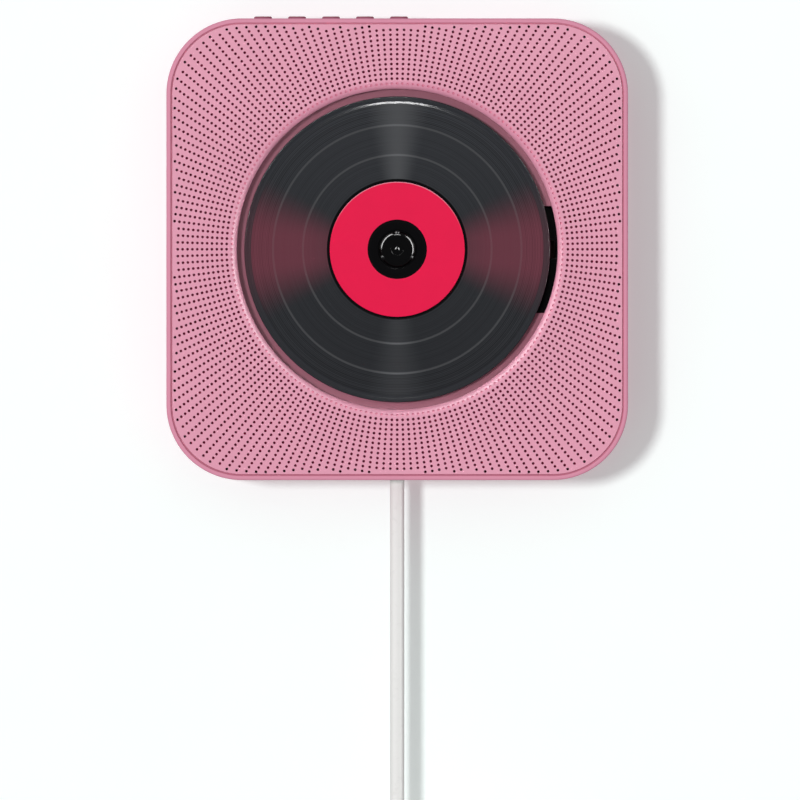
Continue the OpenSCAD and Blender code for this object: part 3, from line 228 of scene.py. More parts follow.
class ShaderGraph(Graph):
    """A material's node tree."""

    def __init__(self, name: str) -> None:
        """Makes an empty material.

        Args:
            name: The material's name.
        """
        self.material = bpy.data.materials.new(name)
        self.material.use_nodes = True
        super().__init__(self.material.node_tree)
        self.tree.nodes.clear()

    def place(self) -> Value:
        """The point's place, in the frame at rest."""
        return self.value("ShaderNodeTexCoord", "Object")

    def noise(
        self, size: float, detail: float = 2.0, stretch: Point = (1, 1, 1), seed: float = 0.0
    ) -> Value:
        """Adds a noise with patches of one size.

        Args:
            size: Size of a patch, in millimetres.
            detail: Finer layers in it.
            stretch: How much finer it is along x, y and z of the frame.
            seed: Moves the pattern, so that two noises differ.

        Returns:
            The noise, about 0.5.
        """
        way = {"Vector": self.place(), "Location": (seed, seed, seed), "Scale": stretch}
        moved = self.value("ShaderNodeMapping", inputs=way)
        inputs = {"Vector": moved, "Scale": 1 / (size * MM), "Detail": detail}
        return self.value("ShaderNodeTexNoise", inputs=inputs)

    def ring_noise(self, radius: Value, size: float, detail: float = 2.0) -> Value:
        """A noise that changes with the distance from an axis alone; size is in millimetres."""
        return self.value(
            "ShaderNodeTexNoise",
            0,
            {"noise_dimensions": "1D"},
            {"W": radius, "Scale": 1 / (size * MM), "Detail": detail},
        )

    def rise(self, value: Value, start: float, end: float) -> Value:
        """A smooth step from 0 at start to 1 at end."""
        return self.value(
            "ShaderNodeMapRange",
            0,
            {"interpolation_type": "SMOOTHSTEP"},
            {"Value": value, "From Min": start, "From Max": end},
        )

    def band(self, value: Value, start: float, end: float, soft: float) -> Value:
        """1 between start and end, with soft edges, and 0 elsewhere."""
        return self.rise(value, start - soft, start + soft) * (1 - self.rise(value, end - soft, end + soft))

    def mix(self, share: Term, first: Value | Colour, second: Value | Colour) -> Value:
        """Mixes two colours."""
        return self.value("ShaderNodeMix", 2, {"data_type": "RGBA"}, {0: share, 6: first, 7: second})

    def bump(self, height: Value, depth: float, under: Value | None = None) -> Value:
        """Adds a bump.

        Args:
            height: Its height, from 0 to 1.
            depth: Its depth, in millimetres.
            under: Another bump that it lies over, if any.

        Returns:
            The normal.
        """
        inputs: dict = {"Height": height, "Distance": depth * MM, "Strength": 1.0}
        if under is not None:
            inputs["Normal"] = under
        return self.value("ShaderNodeBump", 0, inputs=inputs)

    def surface(
        self, colour: Value | Colour, roughness: Term, normal: Value | None = None, **fixed: Term
    ) -> Value:
        """Adds the Principled shader.

        Args:
            colour: Base colour.
            roughness: Roughness.
            normal: A bump, if any.
            fixed: Its other sockets, by name with _ for a space.

        Returns:
            The shader.
        """
        inputs: dict = {"Base Color": colour, "Roughness": roughness}
        if normal is not None:
            inputs["Normal"] = normal
        inputs.update({name.replace("_", " "): value for name, value in fixed.items()})
        return self.value("ShaderNodeBsdfPrincipled", 0, inputs=inputs)

    def close(self, surface: Value) -> bpy.types.Material:
        """Links the shader to the output and returns the material."""
        self.node("ShaderNodeOutputMaterial", inputs={"Surface": surface})
        return self.material


class ShapeTree(Graph):
    """A Geometry Nodes tree with named sizes."""

    def __init__(self, name: str) -> None:
        """Makes a tree with a geometry input and output.

        Args:
            name: The tree's name.
        """
        super().__init__(bpy.data.node_groups.new(name, "GeometryNodeTree"))
        for way in ("INPUT", "OUTPUT"):
            self.tree.interface.new_socket("Geometry", in_out=way, socket_type="NodeSocketGeometry")
        self.entry = self.tree.nodes.new("NodeGroupInput")
        self.identifiers: dict[str, str] = {}

    def drawn(self) -> Value:
        """The geometry that the tree starts from."""
        return Value(self, self.entry.outputs[0])

    def size(self, name: str, whole: bool = False) -> Value:
        """Adds a named input.

        Args:
            name: Its name.
            whole: True for a whole number, and not a length in millimetres.

        Returns:
            The input, for use in expressions.
        """
        kind = "NodeSocketInt" if whole else "NodeSocketFloat"
        socket = self.tree.interface.new_socket(name, in_out="INPUT", socket_type=kind)
        self.identifiers[name] = socket.identifier
        return Value(self, next(out for out in self.entry.outputs if out.identifier == socket.identifier))

    def close(self, shape: Value, material: bpy.types.Material) -> None:
        """Ends the tree in Realize Instances and Set Material.

        Args:
            shape: The geometry that the tree gives.
            material: Its material.
        """
        real = self.value("GeometryNodeRealizeInstances", inputs={0: shape})
        dressed = self.value("GeometryNodeSetMaterial", inputs={"Geometry": real, "Material": material})
        exit_node = self.tree.nodes.new("NodeGroupOutput")
        self.tree.links.new(dressed.socket, exit_node.inputs[0])

    def grow(self, mesh: bpy.types.Mesh, sizes: dict[str, float | int]) -> bpy.types.Mesh:
        """Runs the tree on a mesh.

        Args:
            mesh: The mesh that it starts from. It is used up.
            sizes: The value of each named input.

        Returns:
            The plain mesh that comes out.
        """
        carrier = bpy.data.objects.new("carrier", mesh)
        bpy.context.scene.collection.objects.link(carrier)
        modifier = carrier.modifiers.new("tree", "NODES")
        modifier.node_group = self.tree
        for name, value in sizes.items():
            modifier[self.identifiers[name]] = value
        return evaluated(carrier)


def evaluated(carrier: bpy.types.Object) -> bpy.types.Mesh:
    """Takes an object's mesh with its modifiers applied, and removes the object.

    Args:
        carrier: The object.

    Returns:
        The plain mesh.
    """
    graph = bpy.context.evaluated_depsgraph_get()
    graph.update()
    made = bpy.data.meshes.new_from_object(carrier.evaluated_get(graph))
    used = carrier.data
    bpy.data.objects.remove(carrier)
    bpy.data.meshes.remove(used)
    return made


def modified(mesh: bpy.types.Mesh, kind: str, **settings: object) -> bpy.types.Mesh:
    """Applies one modifier to a mesh.

    Args:
        mesh: The mesh, which is used up.
        kind: The modifier's type.
        settings: Its properties.

    Returns:
        The new mesh.
    """
    carrier = bpy.data.objects.new("carrier", mesh)
    bpy.context.scene.collection.objects.link(carrier)
    modifier = carrier.modifiers.new(kind.lower(), kind)
    for name, value in settings.items():
        setattr(modifier, name, value)
    return evaluated(carrier)


def cut_away(mesh: bpy.types.Mesh, cutter: bpy.types.Mesh) -> bpy.types.Mesh:
    """Takes one closed mesh away from another; both are used up.

    Args:
        mesh: The mesh to cut.
        cutter: What is taken away.

    Returns:
        The cut mesh.
    """
    tool = bpy.data.objects.new("cutter", cutter)
    bpy.context.scene.collection.objects.link(tool)
    made = modified(mesh, "BOOLEAN", object=tool, operation="DIFFERENCE", solver="EXACT")
    bpy.data.objects.remove(tool)
    bpy.data.meshes.remove(cutter)
    return made


# -------------------------------------------------------------------------------- shapes


def polar(radius: float, degrees: float) -> tuple[float, float]:
    """The point at a distance and an angle from the middle, with the angle from the right."""
    angle = math.radians(degrees)
    return radius * math.cos(angle), radius * math.sin(angle)


def rounded_outline(half: float, corner: float, steps: int = 20) -> Profile:
    """Points round a square with round corners, about the middle.

    Args:
        half: Half its width.
        corner: Its corner radius.
        steps: Steps in one corner.

    Returns:
        The points, anticlockwise.
    """
    middle = half - corner
    quarters = [(1, 1), (-1, 1), (-1, -1), (1, -1)]
    return [
        (sx * middle + corner * math.cos(angle), sy * middle + corner * math.sin(angle))
        for quarter, (sx, sy) in enumerate(quarters)
        for angle in (TAU / 4 * (quarter + i / steps) for i in range(steps + 1))
    ]


def arc(middle: tuple[float, float], radius: float, start: float, end: float, steps: int) -> Profile:
    """Points of an arc in a profile, from one angle to another, in degrees."""
    angles = [math.radians(start + (end - start) * i / steps) for i in range(steps + 1)]
    return [(middle[0] + radius * math.cos(a), middle[1] + radius * math.sin(a)) for a in angles]


@dataclass
class Shape:
    """A mesh in the making, face on and in millimetres."""

    points: list[Point] = field(default_factory=list)
    faces: list[tuple[int, ...]] = field(default_factory=list)

    def loft(self, rings: Sequence[Sequence[Point]], closed: bool = False, capped: bool = False) -> Shape:
        """Joins rings of points by faces.

        Args:
            rings: Rings with the same number of points.
            closed: True if the last ring joins the first.
            capped: True if the first and last rings are filled.

        Returns:
            The shape itself.
        """
        start, count, rows = len(self.points), len(rings[0]), len(rings)
        for ring in rings:
            self.points.extend(ring)
        for row in range(rows if closed else rows - 1):
            low, high = start + row * count, start + (row + 1) % rows * count
            for k in range(count):
                n = (k + 1) % count
                self.faces.append((low + k, low + n, high + n, high + k))
        if capped:
            self.faces.append(tuple(start + k for k in reversed(range(count))))
            self.faces.append(tuple(start + (rows - 1) * count + k for k in range(count)))
        return self

    def turn(self, profile: Profile, steps: int, spot: Point = (0, 0, 0), axis: Axis = Axis.OUT) -> Shape:
        """Turns a closed profile round an axis.

        Args:
            profile: Points as distance from the axis and place along it.
            steps: Steps in a turn.
            spot: A point on the axis.
            axis: The axis's direction.

        Returns:
            The shape itself.
        """
        x, y, z = spot
        rays = [(math.cos(TAU * i / steps), math.sin(TAU * i / steps)) for i in range(steps)]
        if axis is Axis.OUT:
            rings = [[(x + r * c, y + r * s, z + along) for c, s in rays] for r, along in profile]
        else:
            rings = [[(x + r * c, y + along, z - r * s) for c, s in rays] for r, along in profile]
        return self.loft(rings, closed=True)

    def tube(self, path: Sequence[Point], width: float, sides: int, side: Point = (0, 0, 1)) -> Shape:
        """Adds a round tube along a path.

        Args:
            path: The points on its middle line.
            width: Its diameter.
            sides: Faces round it.
            side: A direction that the path never runs along.

        Returns:
            The shape itself.
        """
        spots = [Vector(p) for p in path]
        rings = []
        for i, spot in enumerate(spots):
            along = (spots[min(i + 1, len(spots) - 1)] - spots[max(i - 1, 0)]).normalized()
            across = along.cross(Vector(side)).normalized()
            third = along.cross(across)
            turns = [polar(width / 2, 360 * k / sides) for k in range(sides)]
            rings.append([tuple(spot + (u * across + v * third)) for u, v in turns])
        return self.loft(rings, capped=True)

    def mesh(self, name: str) -> bpy.types.Mesh:
        """Stands the shape up in the frame.

        Args:
            name: The mesh's name.

        Returns:
            The mesh, with its doubles merged and its faces pointing outwards.
        """
        made = bpy.data.meshes.new(name)
        made.from_pydata(self.points, [], self.faces)
        made.transform(FACE_ON)
        return tidied(made)


def tidied(mesh: bpy.types.Mesh) -> bpy.types.Mesh:
    """Merges a mesh's doubles and turns its faces outwards.

    Args:
        mesh: The mesh, which is changed.

    Returns:
        The same mesh.
    """
    work = bmesh.new()
    work.from_mesh(mesh)
    bmesh.ops.remove_doubles(work, verts=work.verts, dist=WELD)
    bmesh.ops.dissolve_degenerate(work, edges=work.edges, dist=SLIVER)
    bmesh.ops.recalc_face_normals(work, faces=work.faces)
    work.to_mesh(mesh)
    work.free()
    return mesh


def smoothed(mesh: bpy.types.Mesh, angle: float = 35.0) -> bpy.types.Mesh:
    """Shades a mesh smooth across edges flatter than an angle, in degrees, with flat faces kept flat.

    Args:
        mesh: The mesh, which is used up.
        angle: The angle.

    Returns:
        The new mesh.
    """
    mesh.shade_smooth()
    mesh.set_sharp_from_angle(angle=math.radians(angle))
    return modified(mesh, "WEIGHTED_NORMAL", keep_sharp=True, weight=60)


def merged(meshes: Iterable[bpy.types.Mesh], name: str) -> bpy.types.Mesh:
    """Joins meshes into one, which uses them up.

    Args:
        meshes: The meshes.
        name: The new mesh's name.

    Returns:
        The joined mesh.
    """
    work = bmesh.new()
    for mesh in meshes:
        work.from_mesh(mesh)
        bpy.data.meshes.remove(mesh)
    made = bpy.data.meshes.new(name)
    work.to_mesh(made)
    work.free()
    return made


# -------------------------------------------------------------------------------- finishes


@dataclass(frozen=True)
class Finish:
    """A surface finish, with the name of its material and of the record's slot."""

    name: str
    slot: str
    colour: Colour

    def shader(self, graph: ShaderGraph) -> Value:
        """Builds the finish's shader."""
        raise NotImplementedError

    def material(self) -> bpy.types.Material:
        """Builds the finish's material."""
        graph = ShaderGraph(self.name)
        return graph.close(self.shader(graph))


@dataclass(frozen=True)
class Moulded(Finish):
    """Moulded plastic with a fine grain, and faint patches where it cooled."""

    roughness: float = 0.42
    grain: float = 0.35
    depth: float = 0.004
    tone: float = 0.02
    specular: float = 0.3

    def paint(self, graph: ShaderGraph, patch: Value) -> Value:
        """Builds the colour from the patches."""
        return graph.mix(patch, shade(self.colour, 1 - self.tone), shade(self.colour, 1 + self.tone))

    def shader(self, graph: ShaderGraph) -> Value:
        """Builds the grain, the patches and the shader.

        Args:
            graph: The material\'s tree.

        Returns:
            The shader.
        """
        grain = graph.noise(size=self.grain, detail=3)
        patch = graph.noise(size=26, detail=2, seed=3.1)
        roughness = self.roughness + (patch - 0.5) * 0.1 + (grain - 0.5) * 0.12
        normal = graph.bump(grain, self.depth)
        return graph.surface(self.paint(graph, patch), roughness, normal, Specular_IOR_Level=self.specular)


@dataclass(frozen=True)
class Shell(Moulded):
    """The case's plastic, with painted shade down in the groove and on the seat round the front."""

    # painted shade in the groove, and deeper painted shade on the seat that shows through the outer holes
    groove_shade_colour: Colour = (0.58, 0.195, 0.28, 1.0)
    seat_shade_colour: Colour = (0.16, 0.008, 0.03, 1.0)
    corner_at: float = 61.0
    ring: tuple[float, float] = (25.3, 27.83)
    groove_depths: tuple[float, float] = (0.05, 0.2)
    seat_depths: tuple[float, float] = (1.6, 1.9)
    end_depths: tuple[float, float] = (5.0, 5.2)

    def paint(self, graph: ShaderGraph, patch: Value) -> Value:
        """Builds the colour from the patches, with painted shade in the groove and on the seat.

        Args:
            graph: The material's tree.
            patch: The patches where the plastic cooled.

        Returns:
            The colour.
        """
        x, y, z = graph.split(graph.place())
        sides = [graph.maths("ABSOLUTE", way) - self.corner_at * MM for way in (x, z)]
        over_x, over_z = [graph.maths("MAXIMUM", side, 0.0) for side in sides]
        reach = graph.maths("SQRT", over_x * over_x + over_z * over_z)
        ring = graph.band(reach, self.ring[0] * MM, self.ring[1] * MM, 0.02 * MM)
        down, seat, behind = [
            graph.rise(y, (start - FRONT_OUT) * MM, (end - FRONT_OUT) * MM)
            for start, end in (self.groove_depths, self.seat_depths, self.end_depths)
        ]
        # painted shade: the groove and the seat under the front's edge are darkened as if in shadow
        shaded = graph.mix(seat, self.groove_shade_colour, self.seat_shade_colour)
        return graph.mix(ring * down * (1 - behind), super().paint(graph, patch), shaded)


@dataclass(frozen=True)
class Metal(Finish):
    """Bare or plated metal, with marks that run along one direction."""

    roughness: float = 0.3
    stretch: Point = (1, 1, 1)
    depth: float = 0.003

    def shader(self, graph: ShaderGraph) -> Value:
        """Builds the marks, the stains and the shader.

        Args:
            graph: The material\'s tree.

        Returns:
            The shader.
        """
        marks = graph.noise(size=0.6, detail=4, stretch=self.stretch)
        stain = graph.noise(size=9, detail=3, seed=1.7)
        colour = graph.mix(stain, shade(self.colour, 0.88), self.colour)
        roughness = self.roughness + (marks - 0.5) * 0.2 + (stain - 0.5) * 0.12
        return graph.surface(colour, roughness, graph.bump(marks, self.depth), Metallic=1.0)


@dataclass(frozen=True)
class Rubber(Finish):
    """Matt rubber with a dusty bloom."""

    def shader(self, graph: ShaderGraph) -> Value:
        """Builds the bloom and the shader.

        Args:
            graph: The material\'s tree.

        Returns:
            The shader.
        """
        pores = graph.noise(size=0.25, detail=3)
        bloom = graph.noise(size=4, detail=3, seed=2.3)
        colour = graph.mix(graph.rise(bloom, 0.45, 0.8), self.colour, shade(self.colour, 1.9))
        return graph.surface(colour, 0.72 + (pores - 0.5) * 0.2, graph.bump(pores, 0.02))


@dataclass(frozen=True)
class Woven(Finish):
    """Thin woven dust cloth."""

    thread: float = 0.5

    def shader(self, graph: ShaderGraph) -> Value:
        """Builds the weave and the shader.

        Args:
            graph: The material\'s tree.

        Returns:
            The shader.
        """
        x, _, z = graph.split(graph.place())
        turn = TAU / (2 * self.thread * MM)
        weave = graph.maths("SINE", x * turn) * graph.maths("SINE", z * turn) * 0.5 + 0.5
        fuzz = graph.noise(size=0.4, detail=3)
        colour = graph.mix(weave * 0.6 + fuzz * 0.4, shade(self.colour, 0.6), shade(self.colour, 1.3))
        return graph.surface(colour, 0.9 - weave * 0.08, graph.bump(weave, 0.05), Sheen_Weight=0.15)


@dataclass(frozen=True)
class Sheath(Finish):
    """Soft sheath of a lead, with the lay of its cores showing faintly."""

    lay: float = 9.0
    specular: float = 0.015

    def shader(self, graph: ShaderGraph) -> Value:
        """Builds the lay, the scuffs and the shader.

        Args:
            graph: The material\'s tree.

        Returns:
            The shader.
        """
        scuff = graph.noise(size=3, detail=4, seed=4.4)
        skin = graph.noise(size=0.5, detail=2)
        x, y, z = graph.split(graph.place())
        lay = graph.maths("SINE", (x + y + z) * (TAU / (self.lay * MM))) * 0.5 + 0.5
        colour = graph.mix(graph.rise(scuff, 0.55, 0.8), self.colour, shade(self.colour, 0.93))
        roughness = 0.4 + (scuff - 0.5) * 0.2
        normal = graph.bump(skin * 0.4 + lay * 0.6, 0.012)
        return graph.surface(colour, roughness, normal, Specular_IOR_Level=self.specular)


@dataclass(frozen=True)
class Grooved(Finish):
    """Front of the disc: bands of fine rings, smooth lines between them, painted fans of sheen and highlight,
    painted shade towards the bottom, a black middle.
    """

    line: Colour = (0.066, 0.068, 0.072, 1.0)
    # painted sheen at the sides and painted highlight at top and bottom, standing in for light caught by the
    # grooves
    painted_red_sheen: Colour = (0.158, 0.039, 0.059, 1.0)
    painted_grey_highlight: Colour = (0.074, 0.077, 0.082, 1.0)
    black: Colour = (0.002, 0.002, 0.0025, 1.0)
    lines: tuple[float, ...] = LINE_RADII
    line_width: float = 0.75
    rim: float = 57.1
    middle: float = 27.6
    pitch: float = 0.62

    def shader(self, graph: ShaderGraph) -> Value:
        """Builds the rings, the lines, the painted fans of sheen and highlight, the painted shade towards the
        bottom, the middle and the shader.

        Args:
            graph: The material\'s tree.

        Returns:
            The shader.
        """
        x, _, z = graph.split(graph.place())
        radius = graph.maths("SQRT", x * x + z * z)
        lined: Term = 0.0
        for middle in self.lines:
            low, high = (middle - self.line_width / 2) * MM, (middle + self.line_width / 2) * MM
            lined = graph.band(radius, low, high, 0.3 * MM) + lined
        outer = graph.rise(radius, self.lines[-1] * MM, (self.lines[-1] + 1.5) * MM)
        wave = graph.maths("SINE", radius * (TAU / (self.pitch * MM))) * 0.5 + 0.5
        tone = graph.ring_noise(radius, 0.8, 3)
        rings = wave * 0.5 + tone * 1.2 - 0.35
        depth = 0.3 + 0.6 * outer
        ringed = graph.mix(0.5 + (rings - 0.5) * depth, shade(self.colour, 0.35), shade(self.colour, 1.5))
        # painted shade: the disc's tone darkens towards the bottom
        dark = graph.mix(0.86 + z / radius * 0.14, self.black, ringed)
        # painted sheen: reddish fans at the sides; painted highlight: grey fans at top and bottom, stronger at
        # the top
        side_sheen = 1 - graph.rise(graph.maths("ABSOLUTE", z / radius), 0.1, 0.5)
        upright_highlight = 1 - graph.rise(graph.maths("ABSOLUTE", x / radius), 0.0, 0.25)
        sheen_fading = graph.rise(radius, 24 * MM, 40 * MM) * 0.3 + 0.7
        red = graph.mix(side_sheen * sheen_fading * (0.8 + (rings - 0.5) * 0.3 * outer), dark, self.painted_red_sheen)
        grey = graph.mix(upright_highlight * (0.58 + z / radius * 0.27), red, self.painted_grey_highlight)
        # painted sheen and painted highlight on the smooth lines: reddish at the sides, lighter at top and
        # bottom
        shining = graph.mix(side_sheen * 0.6, self.line, shade(self.painted_red_sheen, 1.25))
        ruled = graph.mix(lined * 0.8, grey, graph.mix(upright_highlight, shining, shade(self.line, 2.0)))
        at_rim = graph.rise(radius, self.rim * MM, (self.rim + 0.5) * MM)
        rimmed = graph.mix(at_rim * 0.7, ruled, self.colour)
        inside = 1 - graph.rise(radius, (self.middle - 0.15) * MM, (self.middle + 0.15) * MM)
        colour = graph.mix(inside, rimmed, self.black)
        roughness = 0.3 + (tone - 0.5) * 0.1 - inside * 0.12 - at_rim * 0.18
        normal = graph.bump(wave * (1 - inside), 0.006)
        coat = {"Coat_Weight": at_rim * 0.07, "Coat_Roughness": 0.1}
        return graph.surface(colour, roughness, normal, Specular_IOR_Level=0.02, **coat)


@dataclass(frozen=True)
class Printed(Finish):
    """Smooth printed paper ring, with a painted highlight along the top of its edge."""

    edge: tuple[float, float] = (26.0, 26.35)
    top_edge_highlight_colour: Colour = (0.78, 0.3, 0.4, 1)

    def shader(self, graph: ShaderGraph) -> Value:
        """Builds the paper's fibres, the print, the painted highlight along the top of its edge and the
        shader.

        Args:
            graph: The material\'s tree.

        Returns:
            The shader.
        """
        fibre = graph.noise(size=0.3, detail=4, stretch=(1, 1, 2.5))
        cloud = graph.noise(size=7, detail=2, seed=5.2)
        x, _, z = graph.split(graph.place())
        radius = graph.maths("SQRT", x * x + z * z)
        # painted highlight: the edge turns paler towards the top, where light catches it
        edge = graph.rise(radius, self.edge[0] * MM, self.edge[1] * MM) * graph.rise(z / radius, 0.2, 0.9)
        body = graph.mix(cloud * 0.5 + fibre * 0.5, shade(self.colour, 0.94), shade(self.colour, 1.05))
        colour = graph.mix(edge * 0.8, body, self.top_edge_highlight_colour)
        normal = graph.bump(fibre, 0.003)
        return graph.surface(colour, 0.42 + (fibre - 0.5) * 0.15, normal, Specular_IOR_Level=0.02)


@dataclass(frozen=True)
class CoatedLens(Finish):
    """Clear lens with a coating."""

    def shader(self, graph: ShaderGraph) -> Value:
        """Builds the coating's tint, its dust and the shader.

        Args:
            graph: The material\'s tree.

        Returns:
            The shader.
        """
        dust = graph.noise(size=0.4, detail=2)
        tint = graph.mix(graph.noise(size=2.5, detail=1, seed=6.0), self.colour, shade(self.colour, 1.25))
        roughness = 0.06 + graph.rise(dust, 0.62, 0.75) * 0.25
        return graph.surface(tint, roughness, graph.bump(dust, 0.001), Transmission_Weight=0.6, IOR=1.5)


@dataclass(frozen=True)
class Circuit(Finish):
    """Circuit board: green mask over copper tracks, with tinned pads."""

    track: float = 2.6
    track_length: float = 11.0
    track_gap: float = 0.3
    pads_per_metre: float = 260.0
    pad_colour: Colour = (0.62, 0.6, 0.56, 1)

    def shader(self, graph: ShaderGraph) -> Value:
        """Builds the tracks, the pads and the shader.

        Args:
            graph: The material\'s tree.

        Returns:
            The shader.
        """
        x, y, z = graph.split(graph.place())
        flat = graph.join(x, z + y, 0.0)
        tracks = {"Mortar Size": self.track_gap, "Brick Width": self.track_length, "Row Height": self.track}
        sizes = {name: size * MM for name, size in tracks.items()}
        bricks = graph.value("ShaderNodeTexBrick", "Fac", inputs={"Vector": flat, "Scale": 1.0, **sizes})
        spots = {"Vector": flat, "Scale": self.pads_per_metre, "Randomness": 0.35}
        cells = graph.value("ShaderNodeTexVoronoi", "Distance", inputs=spots)
        pads = 1 - graph.rise(cells, 0.16, 0.2)
        mask = graph.mix(bricks * 0.6, self.colour, shade(self.colour, 2.1))
        colour = graph.mix(pads, mask, self.pad_colour)
        normal = graph.bump(bricks + pads, 0.03)
        return graph.surface(colour, 0.45 - pads * 0.2, normal, Metallic=pads * 0.8)


@dataclass(frozen=True)
class Wound(Finish):
    """Transformer: copper winding between two stacks of thin steel plates."""

    wire: float = 0.5
    plate: float = 0.7
    winding: tuple[float, float] = (-21.1, -12.1)
    steel: tuple[Colour, Colour] = ((0.1, 0.1, 0.105, 1), (0.32, 0.32, 0.33, 1))

    def shader(self, graph: ShaderGraph) -> Value:
        """Builds the winding's turns, the plates and the shader.

        Args:
            graph: The material\'s tree.

        Returns:
            The shader.
        """
        _, y, z = graph.split(graph.place())
        turns = graph.maths("SINE", z * (TAU / (self.wire * MM))) * 0.5 + 0.5
        plates = graph.maths("SINE", y * (TAU / (self.plate * MM))) * 0.5 + 0.5
        core = 1 - graph.band(y, self.winding[0] * MM, self.winding[1] * MM, 0.1 * MM)
        wire = graph.mix(turns, shade(self.colour, 0.45), self.colour)
        steel = graph.mix(plates, *self.steel)
        height = turns * (1 - core) + plates * core
        return graph.surface(graph.mix(core, wire, steel), 0.4, graph.bump(height, 0.05), Metallic=0.7)


@dataclass(frozen=True)
class Pulp(Finish):
    """Pressed paper cone of a loudspeaker."""

    def shader(self, graph: ShaderGraph) -> Value:
        """Builds the fibres and the shader.

        Args:
            graph: The material\'s tree.

        Returns:
            The shader.
        """
        fibre = graph.noise(size=0.7, detail=5)
        patch = graph.noise(size=6, detail=3, seed=7.7)
        colour = graph.mix(fibre * 0.6 + patch * 0.4, shade(self.colour, 0.7), shade(self.colour, 1.6))
        return graph.surface(colour, 0.86, graph.bump(fibre, 0.05), Sheen_Weight=0.2)


@dataclass(frozen=True)
class Sleeved(Finish):
    """Capacitor cans: a printed sleeve, and a bare metal top."""

    top: float = 19.0
    stripe_pitch: float = 7.0
    stripe_colour: Colour = (0.4, 0.42, 0.45, 1)
    top_colour: Colour = (0.75, 0.75, 0.76, 1)

    def shader(self, graph: ShaderGraph) -> Value:
        """Builds the sleeve, the stripe, the top and the shader.

        Args:
            graph: The material\'s tree.

        Returns:
            The shader.
        """
        x, y, _ = graph.split(graph.place())
        bare = 1 - graph.rise(y, (-self.top - 0.1) * MM, (-self.top + 0.1) * MM)
        stripe = graph.rise(graph.maths("SINE", x * (TAU / (self.stripe_pitch * MM))), 0.9, 0.94)
        grain = graph.noise(size=0.5, detail=3)
        sleeve = graph.mix(stripe, self.colour, self.stripe_colour)
        colour = graph.mix(bare, sleeve, self.top_colour)
        roughness = 0.35 + (grain - 0.5) * 0.2
        return graph.surface(colour, roughness, graph.bump(grain, 0.006), Metallic=bare * 0.9)


SHELL = Shell("pink_shell", "shell", srgb(223, 149, 173), 0.5, depth=0.002, specular=0.0)
FRONT = Shell("pink_front", "shell", srgb(223, 149, 173), 0.5, depth=0.002, specular=0.05)
# painted shade: the case's pink plastic darkened, for the bosses seen through the front's holes
SHADED_SHELL = Moulded("pink_painted_shade", "shell", srgb(112, 22, 48), 0.6, specular=0.05)
# painted shade: the well is the case's pink plastic, darkened as if in shadow
SHADED_WELL = Moulded("pink_well_painted_shade", "shell", srgb(158, 100, 116), 0.5, specular=0.05)
BUTTON = Moulded("mauve_button", "button", srgb(160, 98, 116), 0.45, specular=0.0)
DECK_BLACK = Moulded("deck_black", "deck_black", srgb(3, 3, 4), 0.5, 0.5, 0.01, specular=0.01)
DECK_GREY = Moulded("deck_grey", "deck_grey", srgb(52, 53, 57), 0.5, 0.6, 0.015)
SLED_GREY = Moulded("sled_grey", "sled_grey", srgb(60, 62, 66), 0.48, 0.6, 0.012)
HUB = Moulded("hub_black", "hub", srgb(3, 3, 4), 0.12, 0.8, 0.0005, specular=0.04)
GEAR = Moulded("gear_acetal", "gear", srgb(228, 222, 202), 0.32, 0.5, 0.004)
WHITE = Moulded("white_plastic", "white_plastic", srgb(236, 236, 233), 0.36, 0.5, 0.004, specular=0.015)
LEAD = Sheath("white_lead", "lead", srgb(237, 237, 235))
ZINC = Metal("zinc_plate", "bracket", srgb(186, 190, 196), 0.38, (1, 1, 0.08))
STEEL = Metal("machined_steel", "steel", srgb(176, 178, 182), 0.3, (1, 0.1, 1))
CHROME = Metal("chrome", "chrome", srgb(214, 216, 220), 0.12, depth=0.0008)
BALL = Moulded("dark_balls", "steel", srgb(12, 12, 14), 0.35, depth=0.0008, specular=0.03)
BASKET = Metal("pressed_basket", "basket", srgb(70, 72, 76), 0.42)
RUBBER = Rubber("black_rubber", "rubber", srgb(34, 34, 36))
CLOTH = Woven("dust_cloth", "cloth", srgb(138, 34, 72))
DISC = Grooved("grooved_disc", "disc", srgb(46, 48, 52))
LABEL = Printed("label_print", "label", srgb(233, 4, 70))
LENS = CoatedLens("coated_lens", "lens", srgb(120, 130, 190))
BOARD = Circuit("green_board", "board", srgb(24, 84, 48))
CHIP = Moulded("chip_epoxy", "chip", srgb(30, 30, 32), 0.55, 0.4, 0.008)
CAPACITOR = Sleeved("capacitor_sleeve", "capacitor", srgb(24, 34, 78))
WINDING = Wound("transformer_winding", "winding", srgb(196, 112, 62))
CONE = Pulp("cone_pulp", "cone", srgb(40, 40, 44))

NODE_FINISHES = {
    "wall_bracket": ZINC,
    "rear_cover": SHELL,
    "wall_pads": RUBBER,
    "case_frame": SHELL,
    "case_screws": STEEL,
    "dust_cloth": CLOTH,
    "disc_well": SHADED_WELL,
    "pan_screws": STEEL,
    "deck_cover": DECK_BLACK,
    "deck_frame": DECK_GREY,
    "deck_dampers": RUBBER,
    "deck_screws": STEEL,
    "guide_rods": CHROME,
    "spindle_motor": STEEL,
    "spindle_shaft": STEEL,
    "hub_balls": BALL,
    "pickup_sled": SLED_GREY,
    "lens_holder": DECK_BLACK,
    "lens": LENS,
    "feed_gear": GEAR,
    "feed_pinion": GEAR,
    "feed_motor": STEEL,
    "main_board": BOARD,
    "board_chips": CHIP,
    "board_capacitors": CAPACITOR,
    "board_screws": STEEL,
    "button_board": BOARD,
    "button_switches": CHIP,
    "speaker_frames": BASKET,
    "speaker_magnets": STEEL,
    "speaker_cone_left": CONE,
    "speaker_cone_right": CONE,
    "power_board": BOARD,
    "transformer": WINDING,
    "line_jack": DECK_BLACK,
    "pull_guide": WHITE,
    "pull_slider": WHITE,
    "pull_contact": CHIP,
    "lead_bushing": WHITE,
}


